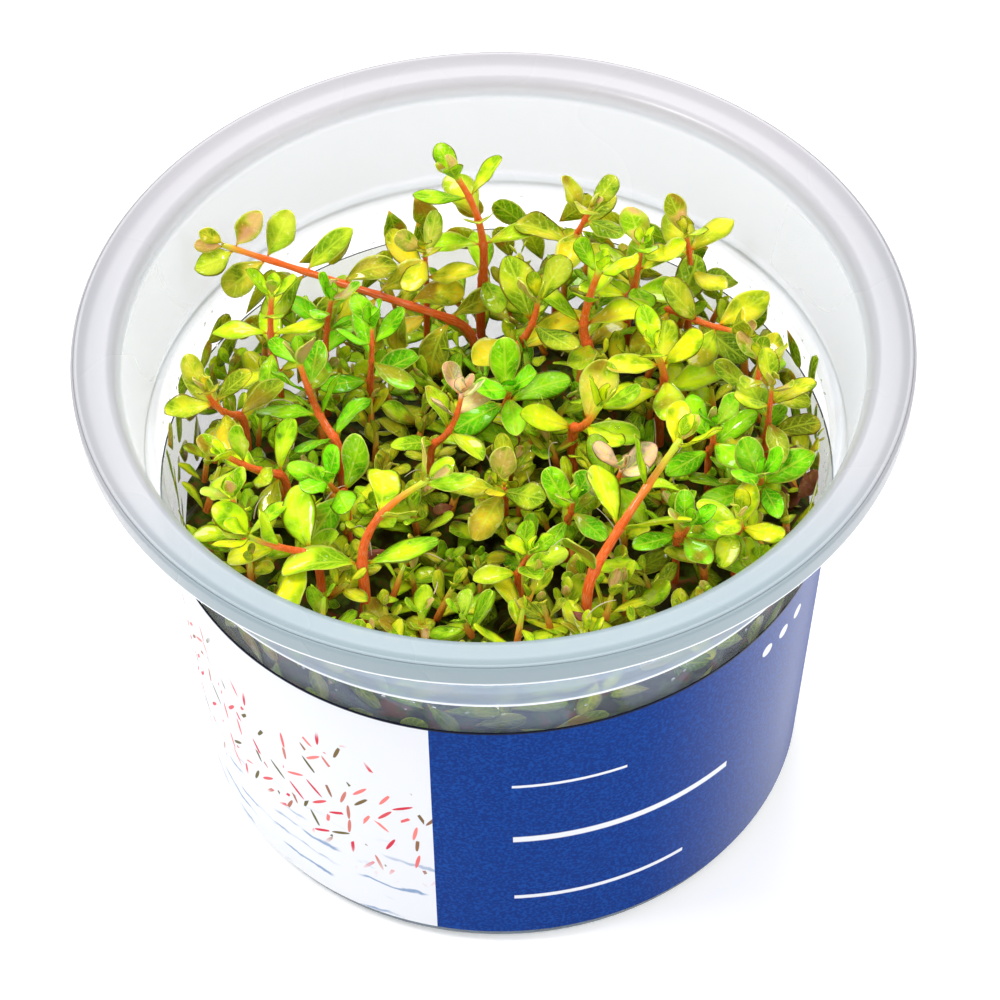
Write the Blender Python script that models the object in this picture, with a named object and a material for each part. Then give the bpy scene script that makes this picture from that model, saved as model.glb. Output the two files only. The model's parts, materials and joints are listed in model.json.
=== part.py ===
"""Rotala, a red-stemmed aquarium plant, in its open tissue-culture cup.

The cup stands on z = 0 with its axis on Z, and the photograph looks at it from -Y. Heights of the plants
are given below or above the rim plane, the top of the cup's flange.
"""

import math
from dataclasses import dataclass

import bmesh
import bpy
from mathutils import Vector
from mathutils.bvhtree import BVHTree

MM = 0.001

# Cup: a turned shape, radii and heights above the base
SEGMENTS = 40
RIM_Z = 68.5 * MM
RIM_RADIUS = 50.0 * MM
LIP_RISE = 0.75 * MM
LIP_DROP = 2.3 * MM
LIP_INNER_RADIUS = 48.4 * MM
FLANGE_INNER_RADIUS = 45.4 * MM
FLANGE_THICKNESS = 1.1 * MM
MOUTH_RADIUS = 44.1 * MM
MOUTH_CORNER_DROP = 1.6 * MM
RING_BOTTOM_RADIUS = 42.4 * MM
RING_BOTTOM_DROP = 15.1 * MM
STEP_DROP = 13.5 * MM
STEP_RADIUS = 41.2 * MM
WALL_TOP_RADIUS = 41.0 * MM
WALL_TOP_DROP = 16.0 * MM
WALL_THICKNESS = 0.8 * MM
BASE_RADIUS = 37.4 * MM
BASE_CORNER = 1.3 * MM
FLOOR_THICKNESS = 1.0 * MM

# Label: a band on the tapered wall
LABEL_TOP_DROP = 22.2 * MM
LABEL_BOTTOM_Z = 2.5 * MM
LABEL_THICKNESS = 0.2 * MM

# Gaps between pieces that touch in the real object
GAP = 0.3 * MM
LEAF_CLEARANCE = 0.32 * MM

# Gel
GEL_TOP_Z = 9.0 * MM

# Undergrowth: a lumpy mound, its heights below the rim plane
MOUND_SECTORS = 30
MOUND_RINGS = 6
MOUND_EDGE_DROP = 2.0 * MM
MOUND_MIDDLE_DROP = 22.5 * MM
MOUND_SLOPE = 0.10
LUMP_HEIGHT = 1.1 * MM
LUMP_SPACING = 9.0 * MM
ROOTED_DEPTH = 5.0 * MM
SOCKET_CLEARANCE = 0.35 * MM
BARE_STEM = 4.8 * MM

# Shoots: square stems with opposite leaves, each pair turned a quarter from the pair below
STEM_SIDES = 4
BAND_HALF_HEIGHT = 0.38 * MM
TIP_LENGTH = 0.9 * MM
LEAF_THICKNESS = 0.30 * MM
LEAF_WIDTH_RATIO = 0.46
LEAF_SECTIONS = ((0.6, 1.0), (1.0, 0.46))
LIGHT_SEEKING = 0.8
SHORTENED = (1.0, 0.78, 0.58)
ROOT_TRIM = 0.2
FIRST_PAIR = 0.14
LAST_PAIR = 0.97
SPACING_POWER = 0.85
STEM_TAPER = 0.35
SAMPLES_PER_CURVE = 64

# Habit of a leaf pair, counted down from the tip: length against the full leaf, lean from the stem, curl
PAIR_LENGTHS = (0.55, 0.82, 1.0, 0.95, 0.9, 0.85)
PAIR_LEANS = (34, 52, 64, 72, 78, 80)
PAIR_CURLS = (-10, 4, 16, 22, 26, 26)


@dataclass(frozen=True)
class Lobe:
    """A rise or a hollow in the undergrowth, in millimetres."""

    x: float
    y: float
    rise: float
    radius: float


LOBES = (
    Lobe(16.0, 19.0, 5.0, 13.0),
    Lobe(-12.0, 27.0, -6.0, 11.0),
    Lobe(-5.0, -14.0, -6.5, 7.5),
    Lobe(27.0, -12.0, 2.0, 9.0),
    Lobe(-24.0, -14.0, 3.0, 11.0),
    Lobe(2.0, -29.0, 2.5, 8.0),
    Lobe(3.0, 3.0, 2.0, 8.0),
)


@dataclass(frozen=True)
class Shoot:
    """A shoot: where its stem leaves the undergrowth, a point half way up, and its tip, in millimetres.

    The third number of each point is its height above the rim plane. turn is the direction of the lowest
    leaf pair, in degrees round the stem. Each pair is turned a quarter from the pair below, unless
    crosswise is False: then the stem has twisted, and all its leaves lie in one plane.
    """

    name: str
    foot: tuple[float, float, float]
    middle: tuple[float, float, float]
    tip: tuple[float, float, float]
    pairs: int
    leaf: float
    turn: float
    stem: float = 1.1
    colour: str = "fresh"
    crosswise: bool = True


SHOOTS = (
    Shoot(
        "arching_shoot", (-2.0, 22.5, -22.0), (-15.0, 20.5, -12.0), (-32.5, 21.0, -3.5),
        6, 7.2, 25, 1.4, "olive", False,
    ),
    Shoot(
        "tall_back_shoot", (-1.5, 27.0, -20.0), (-1.0, 26.5, -8.0), (-4.0, 28.0, 0.5),
        5, 6.7, 100, 1.3, "fresh",
    ),
    Shoot(
        "back_shoot", (8.0, 28.5, -19.0), (10.5, 26.0, -9.0), (12.5, 25.0, -3.0),
        5, 6.3, 60, 1.1, "olive",
    ),
    Shoot(
        "red_post_shoot", (12.0, 13.5, -22.0), (11.2, 14.5, -12.0), (13.2, 15.2, -3.5),
        4, 6.9, 80, 1.5, "fresh",
    ),
    Shoot(
        "broad_leaf_shoot", (2.0, 15.5, -20.0), (4.6, 14.5, -13.0), (5.6, 14.6, -8.0),
        3, 8.3, 30, 1.3, "olive",
    ),
    Shoot(
        "right_back_shoot", (21.0, 20.5, -19.0), (25.4, 13.0, -11.0), (29.3, 8.5, -8.0),
        4, 6.9, 60, 1.1, "olive",
    ),
    Shoot(
        "centre_right_shoot", (20.2, 6.5, -22.0), (20.6, 5.0, -12.0), (19.4, 4.0, -6.0),
        4, 7.4, 10, 1.3, "yellow",
    ),
    Shoot(
        "bright_rosette", (1.5, 6.0, -21.0), (1.6, 4.6, -14.5), (1.8, 2.6, -10.8),
        3, 7.2, 20, 1.1, "bright",
    ),
    Shoot(
        "yellow_pair_shoot", (9.3, 0.5, -22.0), (10.6, -1.5, -15.0), (12.6, -2.1, -9.0),
        3, 7.2, 0, 1.4, "yellow",
    ),
    Shoot(
        "pink_tip_shoot", (13.6, -7.6, -22.0), (14.1, -9.6, -15.0), (14.8, -11.4, -10.0),
        4, 5.8, 40, 1.0, "pink",
    ),
    Shoot(
        "star_rosette", (31.4, -9.0, -22.0), (31.4, -11.0, -14.5), (31.2, -12.8, -10.2),
        3, 6.5, 30, 1.1, "bright",
    ),
    Shoot(
        "right_wall_shoot", (32.6, -1.5, -22.0), (32.8, -2.4, -12.0), (33.0, -2.6, -6.0),
        4, 6.0, 20, 1.0, "olive",
    ),
    Shoot(
        "front_right_shoot", (10.0, -26.7, -19.0), (14.5, -20.4, -9.5), (21.5, -13.4, -3.0),
        4, 7.6, 45, 1.5, "yellow",
    ),
    Shoot(
        "front_left_shoot", (-15.9, -22.8, -17.0), (-14.7, -20.0, -9.0), (-8.0, -17.6, -4.0),
        3, 7.8, 15, 1.4, "yellow",
    ),
    Shoot(
        "left_top_shoot", (-30.5, 5.5, -22.0), (-33.0, 3.2, -14.0), (-34.6, 2.0, -9.0),
        4, 6.3, 30, 1.1, "olive",
    ),
    Shoot(
        "left_post_shoot", (-26.6, 13.8, -24.0), (-27.2, 13.4, -13.0), (-26.7, 15.0, -6.0),
        5, 5.8, 0, 1.1, "fresh",
    ),
    Shoot(
        "left_stem_shoot", (-18.9, 0.0, -23.0), (-21.4, 2.6, -14.0), (-23.5, 5.7, -8.0),
        4, 6.9, 60, 1.4, "bright",
    ),
    Shoot(
        "left_low_shoot", (-25.2, -5.4, -21.0), (-28.6, -6.5, -14.0), (-32.2, -7.5, -10.0),
        4, 5.8, 50, 1.2, "fresh",
    ),
    Shoot(
        "left_foot_shoot", (-29.6, -17.6, -19.0), (-30.6, -15.6, -12.0), (-31.2, -14.6, -9.5),
        3, 5.6, 20, 1.0, "fresh",
    ),
    Shoot(
        "left_red_shoot", (-21.1, -20.6, -17.0), (-25.0, -21.0, -12.5), (-29.2, -21.2, -9.0),
        3, 7.4, 80, 1.2, "yellow",
    ),
    Shoot(
        "mid_left_shoot", (-15.4, 11.7, -24.0), (-14.9, 11.2, -14.0), (-14.7, 12.8, -10.0),
        4, 6.0, 25, 1.0, "bright",
    ),
    Shoot(
        "pink_mid_shoot", (-8.1, -0.6, -21.0), (-5.5, -0.9, -14.0), (-3.9, 0.4, -9.0),
        4, 5.6, 35, 1.1, "pink",
    ),
    Shoot(
        "olive_rosette", (0.9, -7.6, -22.0), (0.5, -10.2, -15.0), (0.2, -11.9, -11.5),
        3, 6.5, 70, 1.0, "olive",
    ),
    Shoot(
        "front_shoot", (2.1, -22.2, -20.0), (2.6, -23.2, -13.4), (3.6, -23.8, -10.2),
        3, 5.2, 10, 0.9, "fresh",
    ),
    Shoot(
        "green_mid_shoot", (8.2, -13.0, -22.0), (8.6, -14.4, -14.5), (9.0, -15.4, -10.6),
        3, 5.6, 50, 1.0, "bright",
    ),
    Shoot(
        "right_low_shoot", (21.0, -17.6, -22.0), (21.6, -19.6, -13.0), (22.4, -21.0, -9.2),
        3, 5.8, 15, 1.0, "bright",
    ),
    Shoot(
        "right_front_shoot", (28.0, -18.2, -20.0), (28.4, -19.6, -12.0), (28.2, -20.6, -8.6),
        3, 5.6, 70, 1.0, "yellow",
    ),
    Shoot(
        "left_round_shoot", (-18.0, -9.6, -21.0), (-19.0, -11.4, -13.0), (-19.9, -12.6, -9.2),
        3, 6.3, 45, 1.0, "bright",
    ),
    Shoot(
        "left_bright_shoot", (-21.0, 15.6, -23.0), (-20.4, 16.6, -14.0), (-19.6, 17.4, -9.5),
        4, 5.8, 70, 1.0, "bright",
    ),
    Shoot(
        "right_green_shoot", (25.6, -3.0, -22.0), (26.0, -4.4, -14.0), (26.2, -4.8, -10.0),
        3, 6.0, 40, 1.0, "bright",
    ),
    Shoot(
        "right_grey_shoot", (31.0, 5.2, -22.0), (31.6, 2.9, -13.0), (32.0, 3.4, -7.5),
        4, 6.0, 60, 1.0, "olive",
    ),
    Shoot(
        "arching_side_shoot", (-8.4, 25.6, -27.0), (-8.0, 23.6, -12.0), (-8.2, 19.8, -4.0),
        4, 6.0, 60, 0.9, "olive",
    ),
    Shoot(
        "right_top_shoot", (24.6, 23.6, -21.0), (24.8, 23.4, -12.0), (24.0, 22.4, -5.0),
        4, 6.9, 25, 1.1, "olive",
    ),
    Shoot(
        "back_right_shoot", (16.8, 21.6, -19.0), (17.7, 20.6, -12.0), (18.6, 21.0, -5.5),
        4, 6.3, 5, 1.1, "fresh",
    ),
)

LEAF_COLOURS = {
    "fresh": (0.22, 0.42, 0.02),
    "bright": (0.12, 0.50, 0.02),
    "olive": (0.22, 0.28, 0.03),
    "yellow": (0.48, 0.52, 0.02),
    "pink": (0.55, 0.42, 0.14),
}
STEM_COLOUR = (0.55, 0.07, 0.01)


def clear_scene():
    """Remove every object, so that the part is all that the file holds."""
    for item in list(bpy.data.objects):
        bpy.data.objects.remove(item, do_unlink=True)


def finish(name, colour, roughness, alpha=1.0):
    """A Principled material."""
    material = bpy.data.materials.new(name)
    material.use_nodes = True
    shader = material.node_tree.nodes["Principled BSDF"]
    shader.inputs["Base Color"].default_value = (*colour, 1.0)
    shader.inputs["Roughness"].default_value = roughness
    shader.inputs["Metallic"].default_value = 0.0
    shader.inputs["Alpha"].default_value = alpha
    return material


def object_from(bm, name, materials, smooth=True):
    """Put a bmesh in the scene as one named object with its normals facing out."""
    bmesh.ops.recalc_face_normals(bm, faces=bm.faces)
    mesh = bpy.data.meshes.new(name)
    bm.to_mesh(mesh)
    bm.free()
    for material in materials:
        mesh.materials.append(material)
    if smooth:
        mesh.shade_smooth()
        mesh.set_sharp_from_angle(angle=math.radians(35))
    item = bpy.data.objects.new(name, mesh)
    bpy.context.scene.collection.objects.link(item)
    return item


def turned(profile, segments, closed):
    """Spin a profile of (radius, z) points round Z; closed joins its last point to its first."""
    bm = bmesh.new()
    points = [bm.verts.new((radius, 0.0, z)) for radius, z in profile]
    edges = [bm.edges.new(pair) for pair in zip(points, points[1:])]
    if closed:
        edges.append(bm.edges.new((points[-1], points[0])))
    bmesh.ops.spin(
        bm, geom=points + edges, cent=(0, 0, 0), axis=(0, 0, 1), dvec=(0, 0, 0),
        angle=math.tau, steps=segments, use_merge=True, use_duplicate=False,
    )
    bmesh.ops.remove_doubles(bm, verts=bm.verts, dist=0.001 * MM)
    return bm


def wall_outer_radius(z):
    """Outer radius of the tapered wall at a height above the base."""
    top = RIM_Z - WALL_TOP_DROP
    share = (z - BASE_CORNER) / (top - BASE_CORNER)
    return BASE_RADIUS + (WALL_TOP_RADIUS - BASE_RADIUS) * share


def wall_inner_radius(z):
    """Inner radius of the tapered wall at a height above the base."""
    return wall_outer_radius(z) - WALL_THICKNESS


def cup_profile():
    """The cup's section, from the middle of the underside round the lip to the middle of the floor."""
    ring_top = RIM_Z - FLANGE_THICKNESS - 0.6 * MM
    wall_top = RIM_Z - WALL_TOP_DROP
    corner = [
        (BASE_RADIUS - BASE_CORNER * (1 - math.sin(angle)), BASE_CORNER * (1 - math.cos(angle)))
        for angle in (0.0, math.pi / 4, math.pi / 2)
    ]
    outside = [
        (WALL_TOP_RADIUS, wall_top),
        (RING_BOTTOM_RADIUS, RIM_Z - RING_BOTTOM_DROP),
        (MOUTH_RADIUS + 0.6 * MM, ring_top),
        (LIP_INNER_RADIUS, RIM_Z - FLANGE_THICKNESS + 0.3 * MM),
        (LIP_INNER_RADIUS + 0.3 * MM, RIM_Z - LIP_DROP),
        (RIM_RADIUS - 0.2 * MM, RIM_Z - LIP_DROP),
        (RIM_RADIUS, RIM_Z - 0.4 * MM),
        (RIM_RADIUS - 0.6 * MM, RIM_Z + LIP_RISE),
    ]
    inside = [
        (LIP_INNER_RADIUS, RIM_Z + LIP_RISE),
        (FLANGE_INNER_RADIUS, RIM_Z),
        (MOUTH_RADIUS, RIM_Z - MOUTH_CORNER_DROP),
        (RING_BOTTOM_RADIUS - WALL_THICKNESS + 0.3 * MM, RIM_Z - STEP_DROP + 0.9 * MM),
        (STEP_RADIUS - 0.4 * MM, RIM_Z - STEP_DROP),
        (WALL_TOP_RADIUS - WALL_THICKNESS, wall_top - 0.4 * MM),
        (wall_inner_radius(FLOOR_THICKNESS + BASE_CORNER), FLOOR_THICKNESS + BASE_CORNER),
        (wall_inner_radius(FLOOR_THICKNESS) - BASE_CORNER, FLOOR_THICKNESS),
        (0.0, FLOOR_THICKNESS),
    ]
    return [(0.0, 0.0)] + corner + outside + inside


def build_cup():
    """The moulded cup."""
    plastic = finish("milky_plastic", (0.80, 0.83, 0.87), 0.32, 0.6)
    return object_from(turned(cup_profile(), SEGMENTS, closed=False), "cup", [plastic])


def build_label():
    """The printed band, standing one gap off the wall."""
    low, high = LABEL_BOTTOM_Z, RIM_Z - LABEL_TOP_DROP
    inner = [(wall_outer_radius(z) + GAP, z) for z in (high, low)]
    outer = [(radius + LABEL_THICKNESS, z) for radius, z in reversed(inner)]
    film = finish("printed_film", (0.01, 0.04, 0.26), 0.35)
    return object_from(turned(inner + outer, SEGMENTS, closed=True), "label", [film])


def build_gel():
    """The clear jelly on the cup's floor."""
    low = FLOOR_THICKNESS + GAP
    lower_radius = wall_inner_radius(low) - BASE_CORNER - GAP
    shoulder = low + BASE_CORNER + 0.4 * MM
    profile = [
        (0.0, low),
        (lower_radius, low),
        (wall_inner_radius(shoulder) - GAP, shoulder),
        (wall_inner_radius(GEL_TOP_Z) - GAP, GEL_TOP_Z),
        (0.0, GEL_TOP_Z),
    ]
    jelly = finish("nutrient_gel", (0.72, 0.74, 0.62), 0.12, 0.5)
    return object_from(turned(profile, SEGMENTS, closed=False), "gel", [jelly])


def mound_height(x, y):
    """Height of the undergrowth's top above the base."""
    drop = MOUND_MIDDLE_DROP + MOUND_SLOPE * y
    height = RIM_Z - drop
    for lobe in LOBES:
        distance = math.hypot(x - lobe.x * MM, y - lobe.y * MM) / (lobe.radius * MM)
        height += lobe.rise * MM * math.exp(-distance * distance)
    wave = math.tau / LUMP_SPACING
    return height + LUMP_HEIGHT * math.sin(wave * x + 0.8) * math.cos(wave * y - 0.4)


def mound_mesh():
    """The undergrowth before the stems' sockets: rings of points on its top, a wall and a flat foot."""
    bm = bmesh.new()
    low = GEL_TOP_Z + GAP
    facet = math.cos(math.pi / SEGMENTS)

    def ring(radius_at, height_at):
        points = []
        for sector in range(MOUND_SECTORS):
            angle = math.tau * sector / MOUND_SECTORS
            radius = radius_at(angle)
            x, y = radius * math.cos(angle), radius * math.sin(angle)
            points.append(bm.verts.new((x, y, height_at(x, y))))
        return points

    def wall_limit(z):
        return wall_inner_radius(z) * facet - GAP - 0.1 * MM

    edge_radius = wall_limit(RIM_Z - MOUND_MIDDLE_DROP - MOUND_EDGE_DROP)
    rings = [ring(lambda angle: wall_limit(low), lambda x, y: low)]
    rings.append(ring(lambda angle: edge_radius, lambda x, y: mound_height(x, y) - MOUND_EDGE_DROP))
    for step in range(MOUND_RINGS, 0, -1):
        radius = (edge_radius - 2.2 * MM) * step / MOUND_RINGS
        rings.append(ring(lambda angle, radius=radius: radius, mound_height))
    middle = bm.verts.new((0.0, 0.0, mound_height(0.0, 0.0)))
    under = bm.verts.new((0.0, 0.0, low))
    for lower, upper in zip(rings, rings[1:]):
        for index in range(MOUND_SECTORS):
            following = (index + 1) % MOUND_SECTORS
            bm.faces.new((lower[index], lower[following], upper[following], upper[index]))
    for index in range(MOUND_SECTORS):
        following = (index + 1) % MOUND_SECTORS
        bm.faces.new((rings[-1][index], rings[-1][following], middle))
        bm.faces.new((rings[0][following], rings[0][index], under))
    return bm


def at_rim(point):
    """A point of a shoot, given in millimetres from the axis and the rim plane, in the part's frame."""
    x, y, above_rim = point
    return Vector((x * MM, y * MM, RIM_Z + above_rim * MM))


class StemCurve:
    """The stem's middle line: straight up out of its socket, then a curve through the shoot's points."""

    def __init__(self, plan):
        foot = at_rim(plan.foot)
        foot.z = max(foot.z, mound_height(foot.x, foot.y) + BARE_STEM)
        self.root = Vector((foot.x, foot.y, mound_height(foot.x, foot.y) - ROOTED_DEPTH))
        self.foot = foot
        self.tip = at_rim(plan.tip)
        self.pull = at_rim(plan.middle) * 2 - (foot + self.tip) / 2
        self.pull.z = max(self.pull.z, foot.z + 1.0 * MM)

    def point(self, share):
        """The point at a share of the way from foot to tip."""
        rest = 1 - share
        return self.foot * rest * rest + self.pull * 2 * rest * share + self.tip * share * share

    def direction(self, share):
        """The unit tangent at a share of the way."""
        slope = (self.pull - self.foot) * (1 - share) + (self.tip - self.pull) * share
        return slope.normalized()

    def length(self):
        """The curve's length from foot to tip."""
        points = [self.point(step / SAMPLES_PER_CURVE) for step in range(SAMPLES_PER_CURVE + 1)]
        return sum((b - a).length for a, b in zip(points, points[1:]))


def stem_ring(centre, direction, facing, radius):
    """The stem's corners at one height, turned so that its sides face the leaf pairs."""
    side = (facing - direction * facing.dot(direction)).normalized()
    other = direction.cross(side)
    corners = []
    for index in range(STEM_SIDES):
        angle = math.tau * (index - 0.5) / STEM_SIDES
        corners.append(centre + (side * math.cos(angle) + other * math.sin(angle)) * radius)
    return corners, side


class ShootModel:
    """A shoot's stem rings and leaves, gathered before they become one mesh."""

    def __init__(self, plan):
        self.plan = plan
        self.curve = StemCurve(plan)
        self.radius = plan.stem * MM / 2 / math.cos(math.pi / STEM_SIDES)
        self.rings = []
        self.roots = []
        self.leaves = []
        self.make_rings()

    def make_rings(self):
        """Rings at the root, at the foot, below and above each leaf pair, and at the tip."""
        turn = math.radians(self.plan.turn)
        facing = Vector((math.cos(turn), math.sin(turn), 0.0))
        up = Vector((0.0, 0.0, 1.0))
        corners, facing = stem_ring(self.curve.root, up, facing, self.radius)
        self.rings.append(corners)
        leaning = (up + self.curve.direction(0.0)).normalized()
        corners, facing = stem_ring(self.curve.foot, leaning, facing, self.radius)
        self.rings.append(corners)
        half_share = BAND_HALF_HEIGHT / self.curve.length()
        for pair in range(self.plan.pairs):
            share = self.pair_share(pair)
            taper = self.radius * (1 - STEM_TAPER * share)
            for nudge in (-half_share, half_share):
                place = self.curve.point(share + nudge)
                corners, facing = stem_ring(place, self.curve.direction(share + nudge), facing, taper)
                self.rings.append(corners)
            self.roots.append(len(self.rings) - 2)
        end = self.curve.direction(1.0)
        corners, facing = stem_ring(self.curve.point(1.0) + end * TIP_LENGTH, end, facing, self.radius * 0.3)
        self.rings.append(corners)

    def pair_share(self, pair):
        """Where on the curve a pair of leaves grows: the internodes shorten towards the tip."""
        step = pair / max(self.plan.pairs - 1, 1)
        return FIRST_PAIR + (LAST_PAIR - FIRST_PAIR) * step ** SPACING_POWER

    def side_of(self, pair, half):
        """The stem's side that a leaf grows on; half is 0 or 1 for the leaf and its opposite."""
        quarter = pair % 2 if self.plan.crosswise else 0
        return (quarter + 2 * half) % STEM_SIDES

    def pair_habit(self, pair):
        """Length, lean from the stem and curl of a pair's leaves, by its place on the shoot."""
        from_tip = self.plan.pairs - 1 - pair
        length = self.plan.leaf * MM * PAIR_LENGTHS[from_tip]
        return length, math.radians(PAIR_LEANS[from_tip]), math.radians(PAIR_CURLS[from_tip])

    def leaf(self, pair, half, scale, swell):
        """One leaf as a list of four-cornered rings, starting with its root on the stem.

        half is 0 or 1 for the leaf and its opposite, scale shortens it, and swell makes it that much
        bigger all round for the clearance test.
        """
        low = self.rings[self.roots[pair]]
        high = self.rings[self.roots[pair] + 1]
        index = self.side_of(pair, half)
        following = (index + 1) % STEM_SIDES
        root = [low[index], low[following], high[following], high[index]]
        middle = sum(root, Vector()) / 4
        across = (low[following] - low[index]).normalized()
        along = ((high[index] + high[following]) - (low[index] + low[following])).normalized()
        out = across.cross(along).normalized()
        length, lean, curl = self.pair_habit(pair)
        length *= scale
        width = LEAF_WIDTH_RATIO * length
        light = (along + Vector((0.0, 0.0, LIGHT_SEEKING))).normalized()
        rings = [root]
        place = middle
        reached = 0.0
        for position, breadth in LEAF_SECTIONS:
            angle = lean + curl * (position + reached) / 2
            ahead = out * math.sin(angle) + along * math.cos(angle)
            place = place + ahead * length * (position - reached)
            reached = position
            side = light.cross(ahead).normalized()
            normal = ahead.cross(side)
            half_width = side * (width * breadth / 2 + swell)
            half_thickness = normal * (LEAF_THICKNESS / 2 + swell)
            if swell and position == 1.0:
                place = place + ahead * swell
            rings.append([
                place - half_width - half_thickness,
                place + half_width - half_thickness,
                place + half_width + half_thickness,
                place - half_width + half_thickness,
            ])
        return rings

    def add_leaves(self, neighbours):
        """Grow each leaf at the longest of its lengths that stays clear of its neighbours.

        neighbours is a list of BVH trees, and the shoot's own leaves are tested too.
        """
        for pair in range(self.plan.pairs):
            for half in (0, 1):
                for scale in SHORTENED:
                    swollen = self.leaf(pair, half, scale, LEAF_CLEARANCE)
                    swollen[0] = [corner.lerp(far, ROOT_TRIM) for corner, far in zip(swollen[0], swollen[1])]
                    tree = tree_of([swollen])
                    own = tree_of([leaf for _, _, leaf in self.leaves]) if self.leaves else None
                    free = not any(tree.overlap(other) for other in neighbours)
                    if free and own is not None:
                        thin = self.leaf(pair, half, scale, 0.0)
                        thin[0] = [corner.lerp(far, ROOT_TRIM) for corner, far in zip(thin[0], thin[1])]
                        free = not tree_of([thin]).overlap(own)
                    if free:
                        self.leaves.append((pair, half, self.leaf(pair, half, scale, 0.0)))
                        break

    def mesh(self):
        """The stem and its leaves as one closed mesh."""
        bm = bmesh.new()
        stem = [[bm.verts.new(corner) for corner in ring] for ring in self.rings]
        taken = {}
        for pair, half, rings in self.leaves:
            taken[(self.roots[pair], self.side_of(pair, half))] = rings
        for level, (lower, upper) in enumerate(zip(stem, stem[1:])):
            for index in range(STEM_SIDES):
                following = (index + 1) % STEM_SIDES
                root = [lower[index], lower[following], upper[following], upper[index]]
                rings = taken.get((level, index))
                if rings is None:
                    bm.faces.new(root).material_index = 0
                    continue
                previous = root
                for ring in rings[1:]:
                    current = [bm.verts.new(corner) for corner in ring]
                    for side in range(4):
                        ahead = (side + 1) % 4
                        face = bm.faces.new((previous[side], previous[ahead], current[ahead], current[side]))
                        face.material_index = 1
                    previous = current
                bm.faces.new(previous).material_index = 1
        bm.faces.new(list(reversed(stem[0])))
        bm.faces.new(stem[-1])
        return bm


def tree_of(tubes):
    """A BVH tree of four-sided tubes, each a list of rings."""
    points, faces = [], []
    for rings in tubes:
        start = len(points)
        for ring in rings:
            points.extend(ring)
        for level in range(len(rings) - 1):
            for side in range(4):
                ahead = (side + 1) % 4
                base = start + level * 4
                faces.append((base + side, base + ahead, base + 4 + ahead, base + 4 + side))
        last = start + (len(rings) - 1) * 4
        faces.append((last, last + 1, last + 2, last + 3))
    return BVHTree.FromPolygons(points, faces)


def build_shoots():
    """Every shoot: all stems first, then leaves, each where it finds room."""
    models = [ShootModel(plan) for plan in SHOOTS]
    cup = turned(cup_profile(), SEGMENTS, closed=False)
    mound = mound_mesh()
    fixed = [BVHTree.FromBMesh(cup), BVHTree.FromBMesh(mound)]
    cup.free()
    mound.free()
    stem_trees = {model.plan.name: tree_of([model.rings]) for model in models}
    leaf_trees = {}
    stem_red = finish("stem_red", STEM_COLOUR, 0.35)
    items = []
    for model in models:
        name = model.plan.name
        others = [tree for other, tree in stem_trees.items() if other != name]
        model.add_leaves(fixed + others + list(leaf_trees.values()))
        leaf_trees[name] = tree_of([rings for _, _, rings in model.leaves])
        leaf = finish(name + "_leaf", LEAF_COLOURS[model.plan.colour], 0.40)
        items.append(object_from(model.mesh(), name, [stem_red, leaf], smooth=False))
    return models, items


def build_undergrowth(models):
    """The mound, with a socket for each stem that stands in it."""
    moss_green = finish("undergrowth_green", (0.10, 0.20, 0.02), 0.55)
    mound = object_from(mound_mesh(), "undergrowth", [moss_green])
    bm = bmesh.new()
    for model in models:
        root, up = model.curve.root, Vector((0.0, 0.0, 1.0))
        reach = (model.curve.foot - root).length + 6.0 * MM
        corner_gap = SOCKET_CLEARANCE / math.cos(math.pi / STEM_SIDES)
        bottom = [
            bm.verts.new(corner + (corner - root).normalized() * corner_gap - up * SOCKET_CLEARANCE)
            for corner in model.rings[0]
        ]
        top = [bm.verts.new(vertex.co + up * reach) for vertex in bottom]
        for index in range(STEM_SIDES):
            following = (index + 1) % STEM_SIDES
            bm.faces.new((bottom[index], bottom[following], top[following], top[index]))
        bm.faces.new(list(reversed(bottom)))
        bm.faces.new(top)
    cutter = object_from(bm, "stem_sockets", [moss_green], smooth=False)
    cutter.hide_render = True
    cutter.display_type = "WIRE"
    sockets = mound.modifiers.new("sockets", "BOOLEAN")
    sockets.operation = "DIFFERENCE"
    sockets.object = cutter
    return mound


def main():
    """Build the whole part."""
    clear_scene()
    build_cup()
    build_label()
    build_gel()
    models, _ = build_shoots()
    build_undergrowth(models)


main()
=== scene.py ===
"""Looks of a red-stemmed rotala that grows out of its open tissue-culture cup.

The cup, its label and each standing shoot are modelled again in detail where the frame has their solids.
The undergrowth, the wet leaves on the wall, the drops and the roots are made by Geometry Nodes.
"""

import json
import logging
import math
import random
from collections.abc import Sequence
from dataclasses import dataclass
from enum import Enum
from typing import Any, Union

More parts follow.
